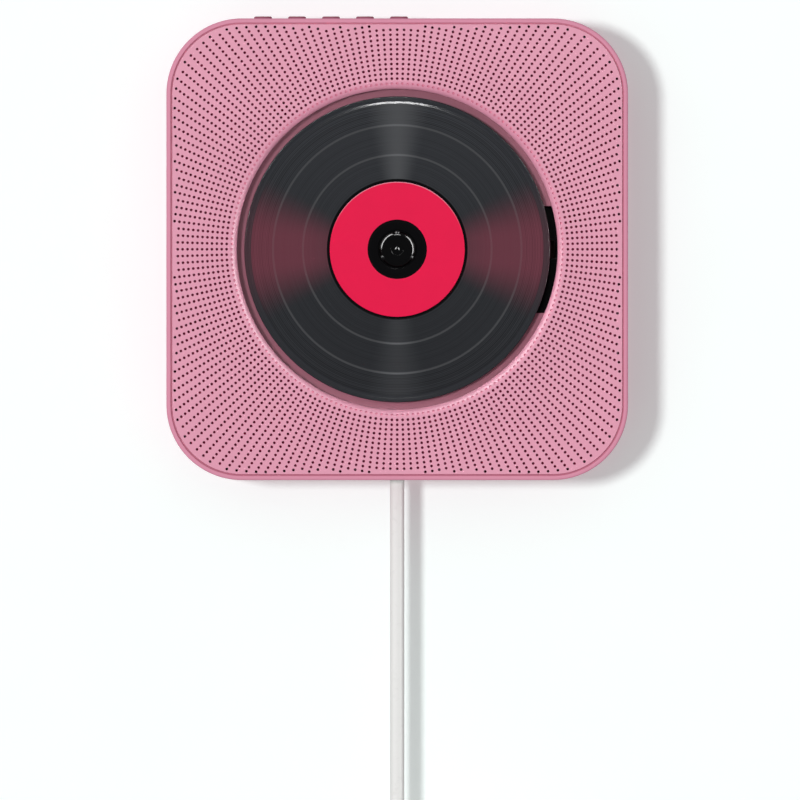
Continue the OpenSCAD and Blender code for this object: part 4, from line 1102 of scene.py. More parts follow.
class Workshop:
    """Dresses CAD nodes and places new pieces, with one material for each finish."""

    def __init__(self, loaded: dict) -> None:
        """Keeps the frame's nodes."""
        self.nodes: dict[str, bpy.types.Object] = loaded["nodes"]
        self.materials: dict[str, bpy.types.Material] = {}

    def material(self, finish: Finish) -> bpy.types.Material:
        """Gives a finish's material, which is made at its first use.

        Args:
            finish: The finish.

        Returns:
            The material.
        """
        if finish.name not in self.materials:
            self.materials[finish.name] = finish.material()
        return self.materials[finish.name]

    def dress(self, node: str, finish: Finish) -> None:
        """Gives a CAD node its finish.

        Args:
            node: The node's name.
            finish: The finish.
        """
        owner = self.nodes[node]
        if not owner.material_slots:
            owner.data.materials.append(None)
        for place in owner.material_slots:
            place.material = self.material(finish)
        log.info("%s: dressed in %s", node, finish.name)

    def place(
        self, name: str, data: bpy.types.ID, finish: Finish, body: Body | str, replaces: Sequence[str] = ()
    ) -> bpy.types.Object:
        """Makes a piece from a mesh or curve that is in place in the frame.

        Args:
            name: The piece's name.
            data: Its mesh or curve.
            finish: Its finish.
            body: The body that it rides on, or its name.
            replaces: The CAD nodes that it stands for.

        Returns:
            The piece.
        """
        piece = bpy.data.objects.new(name, data)
        bpy.context.scene.collection.objects.link(piece)
        data.materials.clear()
        data.materials.append(self.material(finish))
        ridden = body.value if isinstance(body, Body) else body
        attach(piece, ridden)
        if replaces:
            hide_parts(*replaces)
        faces = len(data.polygons) if isinstance(data, bpy.types.Mesh) else 0
        log.info("%s: on %s, in %s, %d faces", name, ridden, finish.name, faces)
        return piece


# -------------------------------------------------------------------------------- studio


@dataclass
class Studio:
    """The wall that the player hangs on, the light and the camera. Lengths are in metres."""

    view_width: float = 0.31362
    view_middle: tuple[float, float] = (0.001085, -0.0591)
    front: float = FRONT_OUT * MM
    distance: float = 12.0
    sight: tuple[float, float] = (0.1, 60.0)
    wall_reach: float = 3.0
    wall_back: float = 0.0005
    wall_paint: tuple[Colour, Colour] = ((0.9, 0.96, 0.945, 1), (0.92, 0.98, 0.965, 1))
    wall_glow: float = 0.14
    ambient: float = 0.46
    key: float = 1.55
    fill_behind: float = 1.1

    def build_camera(self) -> None:
        """Sets the camera square to the front, so far off that it sees hardly any sides."""
        lens = bpy.data.cameras.new("camera")
        lens.lens = lens.sensor_width * self.distance / self.view_width
        lens.clip_start, lens.clip_end = self.sight
        camera = bpy.data.objects.new("camera", lens)
        camera.location = (self.view_middle[0], -self.front - self.distance, self.view_middle[1])
        camera.rotation_euler = (math.pi / 2, 0, 0)
        bpy.context.scene.collection.objects.link(camera)
        bpy.context.scene.camera = camera

    def build_wall(self) -> None:
        """Puts the wall behind the bracket. It takes the player's shadow, and is clear from behind."""
        graph = ShaderGraph("wall_paint")
        tone = graph.noise(size=40, detail=3)
        skin = graph.noise(size=0.8, detail=2)
        paint = graph.mix(tone, *self.wall_paint)
        normal = graph.bump(skin, 0.002)
        matt = {"Color": paint, "Normal": normal, "Roughness": 0.5}
        lit = graph.value("ShaderNodeBsdfDiffuse", inputs=matt)
        glow = graph.value("ShaderNodeEmission", inputs={"Strength": self.wall_glow})
        both = graph.value("ShaderNodeAddShader", inputs={0: lit, 1: glow})
        clear = graph.value("ShaderNodeBsdfTransparent")
        behind = graph.value("ShaderNodeNewGeometry", "Backfacing")
        material = graph.close(graph.value("ShaderNodeMixShader", inputs={0: behind, 1: both, 2: clear}))
        mesh = bpy.data.meshes.new("wall")
        reach = self.wall_reach
        corners = ((-reach, -reach), (reach, -reach), (reach, reach), (-reach, reach))
        mesh.from_pydata([(x, self.wall_back, z) for x, z in corners], [], [(0, 1, 2, 3)])
        mesh.materials.append(material)
        wall = bpy.data.objects.new("wall", mesh)
        wall.visible_diffuse = False
        wall.visible_glossy = False
        wall.visible_shadow = False
        bpy.context.scene.collection.objects.link(wall)

    def build_world(self) -> None:
        """Makes the pale surroundings: white where they are seen, dimmer where they light the player."""
        world = bpy.data.worlds.new("surroundings")
        world.use_nodes = True
        bpy.context.scene.world = world
        graph = Graph(world.node_tree)
        graph.tree.nodes.clear()
        path = graph.node("ShaderNodeLightPath").outputs
        camera, glossy, through = [
            Value(graph, path[f"Is {ray} Ray"]) for ray in ("Camera", "Glossy", "Transmission")
        ]
        seen = graph.maths("MINIMUM", camera + glossy + through, 1.0)
        light, white = [
            graph.value("ShaderNodeBackground", inputs={"Color": (1, 1, 1, 1), "Strength": strength})
            for strength in (self.ambient, 1.0)
        ]
        mixed = graph.value("ShaderNodeMixShader", inputs={0: seen, 1: light, 2: white})
        graph.node("ShaderNodeOutputWorld", inputs={"Surface": mixed})

    def sun(self, name: str, towards: Point, strength: float, softness: float) -> None:
        """Adds a far lamp that shows in no reflection.

        Args:
            name: Its name.
            towards: The direction that it shines in.
            strength: Its strength.
            softness: Its width, in degrees.
        """
        lamp = bpy.data.lights.new(name, "SUN")
        lamp.energy, lamp.angle = strength, math.radians(softness)
        holder = bpy.data.objects.new(name, lamp)
        holder.rotation_mode = "QUATERNION"
        holder.rotation_quaternion = Vector(towards).to_track_quat("-Z", "Y")
        holder.visible_glossy = False
        bpy.context.scene.collection.objects.link(holder)

    def softbox(
        self, name: str, azimuth: float, reach: float, out: float, size: tuple[float, float], power: float
    ) -> None:
        """Adds a rectangular lamp that shows in reflections alone, aimed at the well.

        Args:
            name: Its name.
            azimuth: Its angle round the well's axis, in degrees from the right.
            reach: Its distance from the axis.
            out: Its distance from the wall.
            size: Its width, and its length round the axis.
            power: Its power, in watts.
        """
        lamp = bpy.data.lights.new(name, "AREA")
        lamp.shape, lamp.size, lamp.size_y, lamp.energy = "RECTANGLE", size[0], size[1], power
        holder = bpy.data.objects.new(name, lamp)
        x, z = polar(reach, azimuth)
        back = Vector((x, self.front - out, z)).normalized()
        right, up = polar(1.0, azimuth)
        along = Vector((-up, 0.0, right))
        turned = Matrix((along.cross(back), along, back)).transposed().to_4x4()
        holder.matrix_world = Matrix.Translation((x, -out, z)) @ turned
        holder.visible_diffuse = False
        holder.visible_camera = False
        bpy.context.scene.collection.objects.link(holder)

    def build_lights(self) -> None:
        """Lights the player from the left, with softboxes that it reflects and a fill behind the wall."""
        self.sun("key", towards=(0.33, 1.0, -0.04), strength=self.key, softness=7.0)
        self.sun("fill_behind", towards=(0.45, -1.0, -0.5), strength=self.fill_behind, softness=20)
        self.softbox("softbox_above", azimuth=90, reach=0.62, out=1.3, size=(0.25, 0.22), power=40.0)
        self.softbox("softbox_left", azimuth=142, reach=1.5, out=0.95, size=(0.9, 2.0), power=1000.0)
        self.softbox("softbox_right", azimuth=19, reach=1.5, out=0.95, size=(0.9, 2.1), power=1050.0)


# -------------------------------------------------------------------------------- front


@dataclass
class PerforatedFront:
    """The perforated square front, with its rolled lip and the screw bosses behind it."""

    half: float = 88.2
    corner: float = 27.2
    edge: float = 0.15
    rim_gap: float = 0.05
    front: float = FRONT_OUT
    thickness: float = FRONT_T
    well_r: float = 62.9
    lip_r: float = 3.2
    collar: float = 2.0
    seam: float = 37.0
    hole_d: float = 1.1
    first_ring: float = 66.9
    ring_pitch: float = 1.915
    spokes: int = 200
    field_half: float = 87.3
    field_corner: float = 26.3
    weld: float = 0.001
    segment_weld: float = 0.002
    blind_depth: float = 0.7
    blind_taper: float = 0.92
    blind_middle: float = 0.75
    case_bosses: tuple[tuple[float, float], ...] = ((78, 30), (-78, 30), (-78, -30), (78, -30))
    case_boss_r: float = 3.5
    pan_bosses_at: float = 71.0
    pan_angles: tuple[float, ...] = (10, 130, 250)
    pan_boss_r: float = 3.0
    pan_boss_end: float = 36.4
    bore_r: float = 1.15

    @property
    def lip_out(self) -> float:
        """Radius where the flat front turns into the lip."""
        return self.well_r + self.lip_r

    def outside_square(self, tree: ShapeTree, square: Value, spot: Value) -> tuple[Value, Value, Value]:
        """How far a spot lies outside the square of the field's corner centres.

        Args:
            tree: The tree.
            square: Half the square's width.
            spot: The spot.

        Returns:
            The distance, which is the corner radius on the field's edge, and its parts along x and y.
        """
        x, y, _ = tree.split(spot)
        over_x = x - tree.maths("MINIMUM", tree.maths("MAXIMUM", x, square * -1.0), square)
        over_y = y - tree.maths("MINIMUM", tree.maths("MAXIMUM", y, square * -1.0), square)
        return tree.maths("SQRT", over_x * over_x + over_y * over_y), over_x, over_y

    def sheet_tree(self, material: bpy.types.Material) -> ShapeTree:
        """Builds the tree that trims the ring of cells to the field, fills the margin and makes it thick.

        Args:
            material: The sheet's material.

        Returns:
            The tree.
        """
        tree = ShapeTree("perforated_sheet")
        first, pitch, hole = tree.size("First ring"), tree.size("Ring pitch"), tree.size("Hole diameter")
        half, corner, thickness = tree.size("Field half"), tree.size("Field corner"), tree.size("Thickness")
        limit, spokes = tree.size("Sheet corner"), tree.size("Spokes", whole=True)
        square = half - corner
        here = tree.value("GeometryNodeInputPosition")
        x, y, _ = tree.split(here)
        centre_r = tree.maths("SQRT", x * x + y * y)
        # the middle of the hole whose cell a face is part of
        radius = first + tree.maths("ROUND", (centre_r - first) / pitch) * pitch
        angle = tree.maths("ROUND", tree.maths("ARCTAN2", y, x) * spokes / TAU) * TAU / spokes
        spot = tree.join(tree.maths("COSINE", angle) * radius, tree.maths("SINE", angle) * radius, 0.0)
        off = tree.maths("GREATER_THAN", self.outside_square(tree, square, spot)[0], corner)
        outside_field = {"Geometry": tree.drawn(), "Selection": off}
        inside = tree.value("GeometryNodeDeleteGeometry", 0, {"domain": "FACE"}, outside_field)
        # cells that reach past the sheet's edge are pulled in to it
        reach, over_x, over_y = self.outside_square(tree, square, here)
        excess = 1.0 - limit / tree.maths("MAXIMUM", reach, limit)
        pulled = tree.join(over_x * excess * -1.0, over_y * excess * -1.0, 0.0)
        cells = tree.value("GeometryNodeSetPosition", inputs={"Geometry": inside, "Offset": pulled})
        faces_beside = tree.value("GeometryNodeInputMeshEdgeNeighbors")
        loose = tree.maths("LESS_THAN", faces_beside, 0.5)
        outline = tree.value("GeometryNodeMeshToCurve", inputs={"Mesh": tree.drawn(), "Selection": loose})
        at_hole = tree.value(
            "GeometryNodeInputNamedAttribute", "Attribute", {"data_type": "FLOAT"}, {"Name": "hole"}
        )
        stepped = tree.maths("COMPARE", faces_beside, 1.0, 0.1) * tree.maths("LESS_THAN", at_hole, 0.25)
        outside = stepped * tree.maths("GREATER_THAN", centre_r, first + pitch)
        stairs = tree.value("GeometryNodeMeshToCurve", inputs={"Mesh": cells, "Selection": outside})
        curves = tree.value("GeometryNodeJoinGeometry", inputs={0: [outline, stairs]})
        margin = tree.value("GeometryNodeFillCurve", 0, {"mode": "TRIANGLES"}, {"Curve": curves})
        joined = tree.value("GeometryNodeJoinGeometry", inputs={0: [cells, margin]})
        face = tree.value("GeometryNodeMergeByDistance", inputs={"Geometry": joined, "Distance": self.weld})
        turned = tree.value("GeometryNodeFlipFaces", inputs={"Mesh": face})
        deep = tree.node(
            "GeometryNodeExtrudeMesh",
            {"mode": "FACES"},
            {"Mesh": turned, "Offset Scale": thickness, "Individual": False},
        )
        # the walls along the two outlines go, where the lip and the rim join the sheet
        at_lip = tree.maths("LESS_THAN", centre_r, first - hole * 0.6)
        at_rim = tree.maths("GREATER_THAN", reach, limit)
        wall = Value(tree, deep.outputs["Side"]) * tree.maths("MINIMUM", at_lip + at_rim, 1.0)
        opened = tree.value(
            "GeometryNodeDeleteGeometry",
            0,
            {"domain": "FACE"},
            {"Geometry": Value(tree, deep.outputs["Mesh"]), "Selection": wall},
        )
        whole = tree.value("GeometryNodeJoinGeometry", inputs={0: [face, opened]})
        sealed = tree.value("GeometryNodeMergeByDistance", inputs={"Geometry": whole, "Distance": self.weld})
        tree.close(sealed, material)
        return tree

    def around_tree(self, material: bpy.types.Material) -> ShapeTree:
        """Builds the tree that repeats a segment round the axis and welds the segments.

        Args:
            material: The segments' material.

        Returns:
            The tree.
        """
        tree = ShapeTree("segments_around")
        count = tree.size("Segments", whole=True)
        index = tree.value("GeometryNodeInputIndex")
        angles = tree.join(0.0, 0.0, index * TAU / count)
        turn = tree.value("FunctionNodeEulerToRotation", inputs={0: angles})
        spots = tree.value("GeometryNodePoints", inputs={"Count": count})
        segments = {"Points": spots, "Instance": tree.drawn(), "Rotation": turn}
        ring = tree.value("GeometryNodeInstanceOnPoints", inputs=segments)
        real = tree.value("GeometryNodeRealizeInstances", inputs={0: ring})
        near = {"Geometry": real, "Distance": self.segment_weld}
        welded = tree.value("GeometryNodeMergeByDistance", inputs=near)
        tree.close(welded, material)
        return tree

    def cell_strip(self) -> bpy.types.Mesh:
        """Builds one spoke's row of cells, each round its hole, out past the field's corners.

        Returns:
            The strip's mesh, face on and in millimetres, with the points on the holes marked.
        """
        shape = Shape()
        side = math.pi / self.spokes
        hole_r, hole_sides = self.hole_d / 2, 10
        turns = [TAU * i / hole_sides for i in range(hole_sides)]
        rings = math.ceil((self.field_half * math.sqrt(2) - self.first_ring) / self.ring_pitch)
        marks: list[float] = []
        for ring in range(rings):
            start, middle = len(shape.points), self.first_ring + ring * self.ring_pitch
            low = middle - self.ring_pitch / 2 if ring else self.lip_out
            high = middle + self.ring_pitch / 2
            border = [(high, -side), (high, side), (low, side), (low, 0.0), (low, -side)]
            shape.points += [(r * math.cos(a), r * math.sin(a), 0.0) for r, a in border]
            shape.points += [(middle + hole_r * math.cos(a), hole_r * math.sin(a), 0.0) for a in turns]
            marks += [0.0] * len(border) + [1.0] * hole_sides
            # four faces, each from a stretch of the border to a stretch of the hole's ten sides
            inner = (2, 4) if ring else (2, 3, 4)
            sides = [((0, 1), (1, 0, 9)), ((1, 2), (4, 3, 2, 1)), (inner, (6, 5, 4)), ((4, 0), (9, 8, 7, 6))]
            at_hole = start + len(border)
            for edge, hole in sides:
                shape.faces.append(tuple(start + i for i in edge) + tuple(at_hole + i for i in hole))
        strip = bpy.data.meshes.new("cell_strip")
        strip.from_pydata(shape.points, [], shape.faces)
        strip.attributes.new("hole", "FLOAT", "POINT").data.foreach_set("value", marks)
        return strip

    def build_sheet(self, material: bpy.types.Material) -> bpy.types.Mesh:
        """Builds the flat sheet with all its holes.

        Args:
            material: Its material.

        Returns:
            The sheet's mesh, open where the lip and the rim join it.
        """
        cells = self.around_tree(material).grow(self.cell_strip(), {"Segments": self.spokes})
        outer = rounded_outline(self.half - self.edge, self.corner - self.edge)
        round_it = [(i, (i + 1) % len(outer)) for i in range(len(outer))]
        outline = bpy.data.meshes.new("outline")
        outline.from_pydata([(x, y, 0.0) for x, y in outer], round_it, [])
        sheet = self.sheet_tree(material).grow(
            merged([cells, outline], "cells"),
            {
                "First ring": self.first_ring,
                "Ring pitch": self.ring_pitch,
                "Hole diameter": self.hole_d,
                "Field half": self.field_half,
                "Field corner": self.field_corner,
                "Sheet corner": self.corner - self.edge - self.rim_gap,
                "Thickness": self.thickness,
                "Spokes": self.spokes,
            },
        )
        sheet.transform(FACE_ON @ Matrix.Translation((0, 0, self.front)))
        return sheet

    def lip_point(self, turn: float, rise: float, sink: float = 0.0) -> Point:
        """Finds a point on the lip's round.

        Args:
            turn: Its angle round the well, in degrees.
            rise: Its angle on the round, from 0 in the well to 90 at the flat front.
            sink: Its depth under the round.

        Returns:
            The point, face on.
        """
        inwards, outwards = polar(self.lip_r - sink, rise)
        return (*polar(self.lip_out - inwards, turn), self.front - self.lip_r + outwards)

    def lip_segment(self) -> bpy.types.Mesh:
        """Builds one spoke's worth of the lip, with the shallow blind hole on its round.

        Returns:
            The segment's mesh, face on and in millimetres.
        """
        shape = Shape()
        half = 180 / self.spokes
        turns = (-half, 0.0, half)
        blind_r = self.first_ring - self.ring_pitch
        middle = math.degrees(math.acos((self.lip_out - blind_r) / self.lip_r))
        reach = math.degrees(self.hole_d / 2 / self.lip_r)
        low, high = middle - reach - 3, middle + reach + 3

        def strip(rows: Sequence[Sequence[Point]]) -> None:
            """Joins rows of three points by faces.

            Args:
                rows: The rows.
            """
            start = len(shape.points)
            for row in rows:
                shape.points.extend(row)
            for i in range(len(rows) - 1):
                for k in range(2):
                    a = start + 3 * i + k
                    shape.faces.append((a, a + 1, a + 4, a + 3))

        strip([[self.lip_point(t, low * i / 6) for t in turns] for i in range(7)])
        strip([[self.lip_point(t, rise) for t in turns] for rise in (high, 90)])
        tail = [
            (self.well_r, self.front - self.lip_r),
            (self.well_r, self.seam + 0.2),
            (self.well_r + 0.2, self.seam),
            (self.well_r + self.collar, self.seam),
            (self.well_r + self.collar, self.front - self.thickness),
            (self.lip_out, self.front - self.thickness),
        ]
        strip([[(*polar(r, t), out) for t in turns] for r, out in tail])
        # the cell with the blind hole: its border, the hole's rim, its floor's edge and its middle
        border = [(-1, low), (0, low), (1, low), (1, middle)]
        border += [(1, high), (0, high), (-1, high), (-1, middle)]
        rim, sides = len(shape.points), len(border)
        shape.points.extend(self.lip_point(side * half, rise) for side, rise in border)
        for share, sink in ((1.0, 0.0), (self.blind_taper, self.blind_depth)):
            for i in range(sides):
                angle = math.radians(-135 + 360 / sides * i)
                turn = math.degrees(share * self.hole_d / 2 * math.cos(angle) / blind_r)
                shape.points.append(self.lip_point(turn, middle + share * reach * math.sin(angle), sink))
        floor = rim + 2 * sides
        shape.points.append(self.lip_point(0, middle, self.blind_middle))
        for i in range(sides):
            n = (i + 1) % sides
            for ring in (rim, rim + sides):
                shape.faces.append((ring + i, ring + n, ring + sides + n, ring + sides + i))
            shape.faces.append((floor + i, floor + n, floor + sides))
        segment = bpy.data.meshes.new("lip_segment")
        segment.from_pydata(shape.points, [], shape.faces)
        return segment

    def build_rim(self) -> bpy.types.Mesh:
        """Builds the rounded outer edge, as a band that is open where the sheet joins it.

        Returns:
            The band's mesh.
        """
        middle = (-self.edge, self.front - self.edge)
        profile = arc(middle, self.edge, 90, 0, 5)
        profile += [(0.0, self.front - self.thickness), (-self.edge, self.front - self.thickness)]
        rings = [
            [(x, y, out) for x, y in rounded_outline(self.half + offset, self.corner + offset)]
            for offset, out in profile
        ]
        return Shape().loft(rings).mesh("front_rim")

    def boss(
        self, radius: float, end: float, bevel: float, mouth: float, bore_end: float, tip: float
    ) -> Profile:
        """Draws a boss behind the front, with the bore for its screw.

        Args:
            radius: Its radius.
            end: Its end's distance from the wall.
            bevel: The bevel round its end.
            mouth: Radius of the bore at the end.
            bore_end: Where the bore begins to taper.
            tip: The tip of the bore.

        Returns:
            The profile.
        """
        back = self.front - self.thickness
        outside = [(0, back), (radius, back), (radius, end + bevel), (radius - bevel, end)]
        return outside + [(mouth, end), (self.bore_r, end + bevel), (self.bore_r, bore_end), (0, tip)]

    def build(self, shop: Workshop) -> None:
        """Builds the front and its bosses.

        Args:
            shop: The workshop.
        """
        material = shop.material(FRONT)
        lip = self.around_tree(material).grow(self.lip_segment(), {"Segments": self.spokes})
        lip.transform(FACE_ON)
        whole = tidied(merged([self.build_sheet(material), lip, self.build_rim()], "front"))
        shop.place("perforated_front", smoothed(whole, 40), FRONT, Body.PLAYER, ["front_grille"])
        bosses = Shape()
        case_boss = self.boss(self.case_boss_r, INSIDE, bevel=0.3, mouth=1.45, bore_end=15, tip=15.6)
        for x, y in self.case_bosses:
            bosses.turn(case_boss, 32, (x, y, 0))
        end = self.pan_boss_end
        pan_boss = self.boss(self.pan_boss_r, end, bevel=0.2, mouth=1.4, bore_end=39.2, tip=39.4)
        for angle in self.pan_angles:
            bosses.turn(pan_boss, 32, (*polar(self.pan_bosses_at, angle), 0))
        # the bosses wear the pink darkened as painted shade
        shop.place("front_bosses", smoothed(bosses.mesh("front_bosses")), SHADED_SHELL, Body.PLAYER)


# -------------------------------------------------------------------------------- case


@dataclass
class Case:
    """The frame round the player, with its holes, and the five buttons in its upper edge."""

    half: float = 90.5
    corner: float = 29.5
    wall: float = 2.0
    front_wall: float = 1.75
    edge: float = 1.0
    back: float = 1.0
    front: float = FRONT_OUT
    ledge: float = 2.0
    front_ledge: float = 0.9
    ledge_t: float = 2.5
    seat_depth: float = 1.8
    groove_in: float = 2.25
    groove_t: float = 0.7
    groove_bevel: float = 0.25
    back_bevel: float = 0.2
    buttons: int = 5
    first_button: float = -52.7
    button_pitch: float = 13.35
    button_out: float = 22.0
    button_d: float = 7.0
    button_gap: float = 0.3
    button_top: float = 91.5
    button_soft: float = 0.6
    button_dish: tuple[tuple[float, float], ...] = ((0, 0.28), (1.2, 0.24), (2.1, 0.1), (2.6, 0.02))
    flange: float = 1.1
    flange_t: float = 1.2
    stem_r: float = 1.5
    stem_bevel: float = 0.3
    button_stem: float = 80.95
    bushing_d: float = 11.3
    jack: tuple[float, float, float] = (34.0, 14.0, 6.1)

    def frame_mesh(self) -> bpy.types.Mesh:
        """Builds the frame's band and cuts its holes.

        Returns:
            The mesh.
        """
        wall, ledge = -self.wall, -self.wall - self.ledge
        thin, seat = -self.front_wall, wall - self.front_ledge
        edge, bevel, back_bevel = self.edge, self.groove_bevel, self.back_bevel
        shelf = self.front - FRONT_T
        floor = self.front - self.groove_t
        back_ledge, front_ledge = INSIDE + self.ledge_t, shelf - self.ledge_t
        profile = [(-self.groove_in, shelf), (-self.groove_in, floor), (thin, floor)]
        profile += [(thin, self.front - bevel), (thin + bevel, self.front), (-edge - 0.05, self.front)]
        profile += arc((-edge, self.front - edge), edge, 90, 0, 7)
        profile += arc((-edge, self.back + edge), edge, 0, -90, 7)
        profile += [(-edge - 0.05, self.back), (wall + back_bevel, self.back), (wall, self.back + back_bevel)]
        profile += [(wall, INSIDE), (ledge, INSIDE), (ledge, back_ledge), (wall, back_ledge)]
        profile += [(wall, front_ledge), (ledge, front_ledge), (ledge, shelf - self.seat_depth)]
        profile += [(seat, shelf - self.seat_depth), (seat, shelf)]
        rings = [
            [(x, y, out) for x, y in rounded_outline(self.half + offset, self.corner + offset, 28)]
            for offset, out in profile
        ]
        band = Shape().loft(rings, closed=True).mesh("case_band")
        holes = Shape()
        low, high = self.half - self.wall - 1, self.half + 1
        for number in range(self.buttons):
            radius = self.button_d / 2 + self.button_gap
            profile = [(0, low), (radius, low), (radius, high), (0, high)]
            holes.turn(profile, 48, self.button_spot(number), Axis.UP)
        for x, out, width in ((0.0, LEAD_OUT, self.bushing_d), self.jack):
            profile = [(0, -high), (width / 2, -high), (width / 2, -low), (0, -low)]
            holes.turn(profile, 48, (x, 0, out), Axis.UP)
        return smoothed(cut_away(band, holes.mesh("case_holes")), 30)

    def button_spot(self, number: int) -> Point:
        """A point on a button's axis."""
        return (self.first_button + number * self.button_pitch, 0, self.button_out)

    def button_mesh(self, number: int) -> bpy.types.Mesh:
        """Builds a button with a dished top, its flange and its stem.

        Args:
            number: Its number, from 0 at the left.

        Returns:
            The mesh.
        """
        top, radius, soft = self.button_top, self.button_d / 2, self.button_soft
        flange = self.half - self.wall - self.button_gap
        low, end = flange - self.flange_t, self.button_stem
        profile = [(r, top - drop) for r, drop in self.button_dish]
        profile += arc((radius - soft, top - soft), soft, 90, 0, 6)
        profile += [(radius, flange), (radius + self.flange, flange), (radius + self.flange, low)]
        profile += [(self.stem_r, low), (self.stem_r, end + self.stem_bevel)]
        profile += [(self.stem_r - self.stem_bevel, end), (0, end)]
        button = Shape().turn(profile, 48, self.button_spot(number), Axis.UP)
        return smoothed(button.mesh(f"button_{number + 1}"), 40)

    def build(self, shop: Workshop) -> None:
        """Builds the frame and the buttons.

        Args:
            shop: The workshop.
        """
        shop.place("case_band", self.frame_mesh(), SHELL, Body.PLAYER, ["case_frame"])
        for number in range(self.buttons):
            name = f"button_{number + 1}"
            shop.place(f"cap_{number + 1}", self.button_mesh(number), BUTTON, name, [name])


# -------------------------------------------------------------------------------- disc


@dataclass
class DiscAndHub:
    """The disc with its label, and the hub that holds it."""

    radius: float = 60.0
    bore: float = 7.5
    front: float = 38.5
    back: float = 37.3
    land: float = 0.02
    label_in: float = 11.6
    label_out: float = 26.5
    label_seat: float = 0.1
    rim: tuple[tuple[float, float], ...] = (
        (56.8, 0.02), (57.1, 0.05), (57.9, 0.22), (58.2, 0.24), (58.5, 0.19), (59.0, 0.08)
    )
    rim_round: float = 0.6
    hub_back: float = 33.0
    boss_r: float = 5.0
    flange_r: float = 15.0
    flange_t: float = 1.3
    nose_r: float = 7.0
    nose_top: float = 40.3
    nose_round: float = 1.6
    recess: tuple[float, float] = (2.4, 0.36)
    nub_r: float = 1.33
    bore_end: float = 38.55
    shaft_r: float = 1.05

    def disc_mesh(self) -> bpy.types.Mesh:
        """Builds the disc: a seat for the label, lines between the grooved bands, and a rolled rim.

        Returns:
            The mesh.
        """
        top, low, land, seat = self.front, self.back, self.front - self.land, self.front - self.label_seat
        groove, line_floor = top - 0.16, top - 0.035
        profile = [(self.bore, low + 0.15), (self.bore, top - 0.25), (self.bore + 0.25, land)]
        profile += [(self.label_in - 0.35, land), (self.label_in - 0.05, seat)]
        profile += [(self.label_out + 0.05, seat), (self.label_out + 0.15, groove)]
        profile += [(self.label_out + 0.8, groove), (self.label_out + 1.2, land)]
        for line in LINE_RADII:
            profile += [(line - 0.5, land), (line - 0.2, line_floor)]
            profile += [(line + 0.2, line_floor), (line + 0.5, land)]
        profile += [(radius, top - drop) for radius, drop in self.rim]
        profile += arc((self.radius - self.rim_round, top - self.rim_round - 0.05), self.rim_round, 70, 0, 6)
        profile += [(self.radius, low + 0.2), (self.radius - 0.2, low), (self.bore + 0.15, low)]
        return smoothed(Shape().turn(profile, 240).mesh("disc"), 50)

    def label_mesh(self) -> bpy.types.Mesh:
        """Builds the thin label, with its edges pressed down.

        Returns:
            The mesh.
        """
        top, low, gap = self.front - 0.005, self.front - self.label_seat, 0.05
        inner, outer = self.label_in + gap, self.label_out - gap
        profile = [(inner, low), (inner, top - 0.03), (self.label_in + 0.2, top)]
        profile += [(self.label_out - 0.4, top), (outer, top - 0.05), (outer, low)]
        return smoothed(Shape().turn(profile, 180).mesh("label"), 50)

    def hub_mesh(self) -> bpy.types.Mesh:
        """Builds the hub: its boss, the flange, the nose with its rounded edge, and the nub in its recess.

        Returns:
            The mesh.
        """
        low, seat, top, bevel, soft = self.hub_back, self.back, self.nose_top, 0.2, self.nose_round
        under = seat - self.flange_t
        (recess_r, recess_depth), nub_r = self.recess, self.nub_r
        tilts = [math.radians(40 - 8 * i) for i in range(6)]
        profile = [(self.shaft_r, low), (self.boss_r - bevel, low), (self.boss_r, low + bevel)]
        profile += [(self.boss_r, under), (self.flange_r - bevel, under), (self.flange_r, under + bevel)]
        profile += [(self.flange_r, seat - 0.15), (self.flange_r - 0.15, seat)]
        profile += [(self.nose_r + 0.1, seat), (self.nose_r, seat + 0.1)]
        profile += arc((self.nose_r - soft, top - soft), soft, 0, 90, 12)
        profile += [(recess_r, top), (recess_r - 0.05, top - 0.05), (recess_r - 0.1, top - recess_depth)]
        profile += [(0.95, top - recess_depth)]
        profile += [(nub_r * math.sin(tilt), top - 0.02 - nub_r * (1 - math.cos(tilt))) for tilt in tilts]
        profile += [(0, self.bore_end), (self.shaft_r, self.bore_end)]
        return smoothed(Shape().turn(profile, 96).mesh("hub"), 50)

    def build(self, shop: Workshop) -> None:
        """Builds the disc, the label and the hub.

        Args:
            shop: The workshop.
        """
        shop.place("grooved_disc", self.disc_mesh(), DISC, Body.DISC, ["disc"])
        shop.place("label_ring", self.label_mesh(), LABEL, Body.DISC, ["disc_label"])
        shop.place("spindle_nose", self.hub_mesh(), HUB, Body.SPINDLE, ["spindle_hub"])


# -------------------------------------------------------------------------------- lead


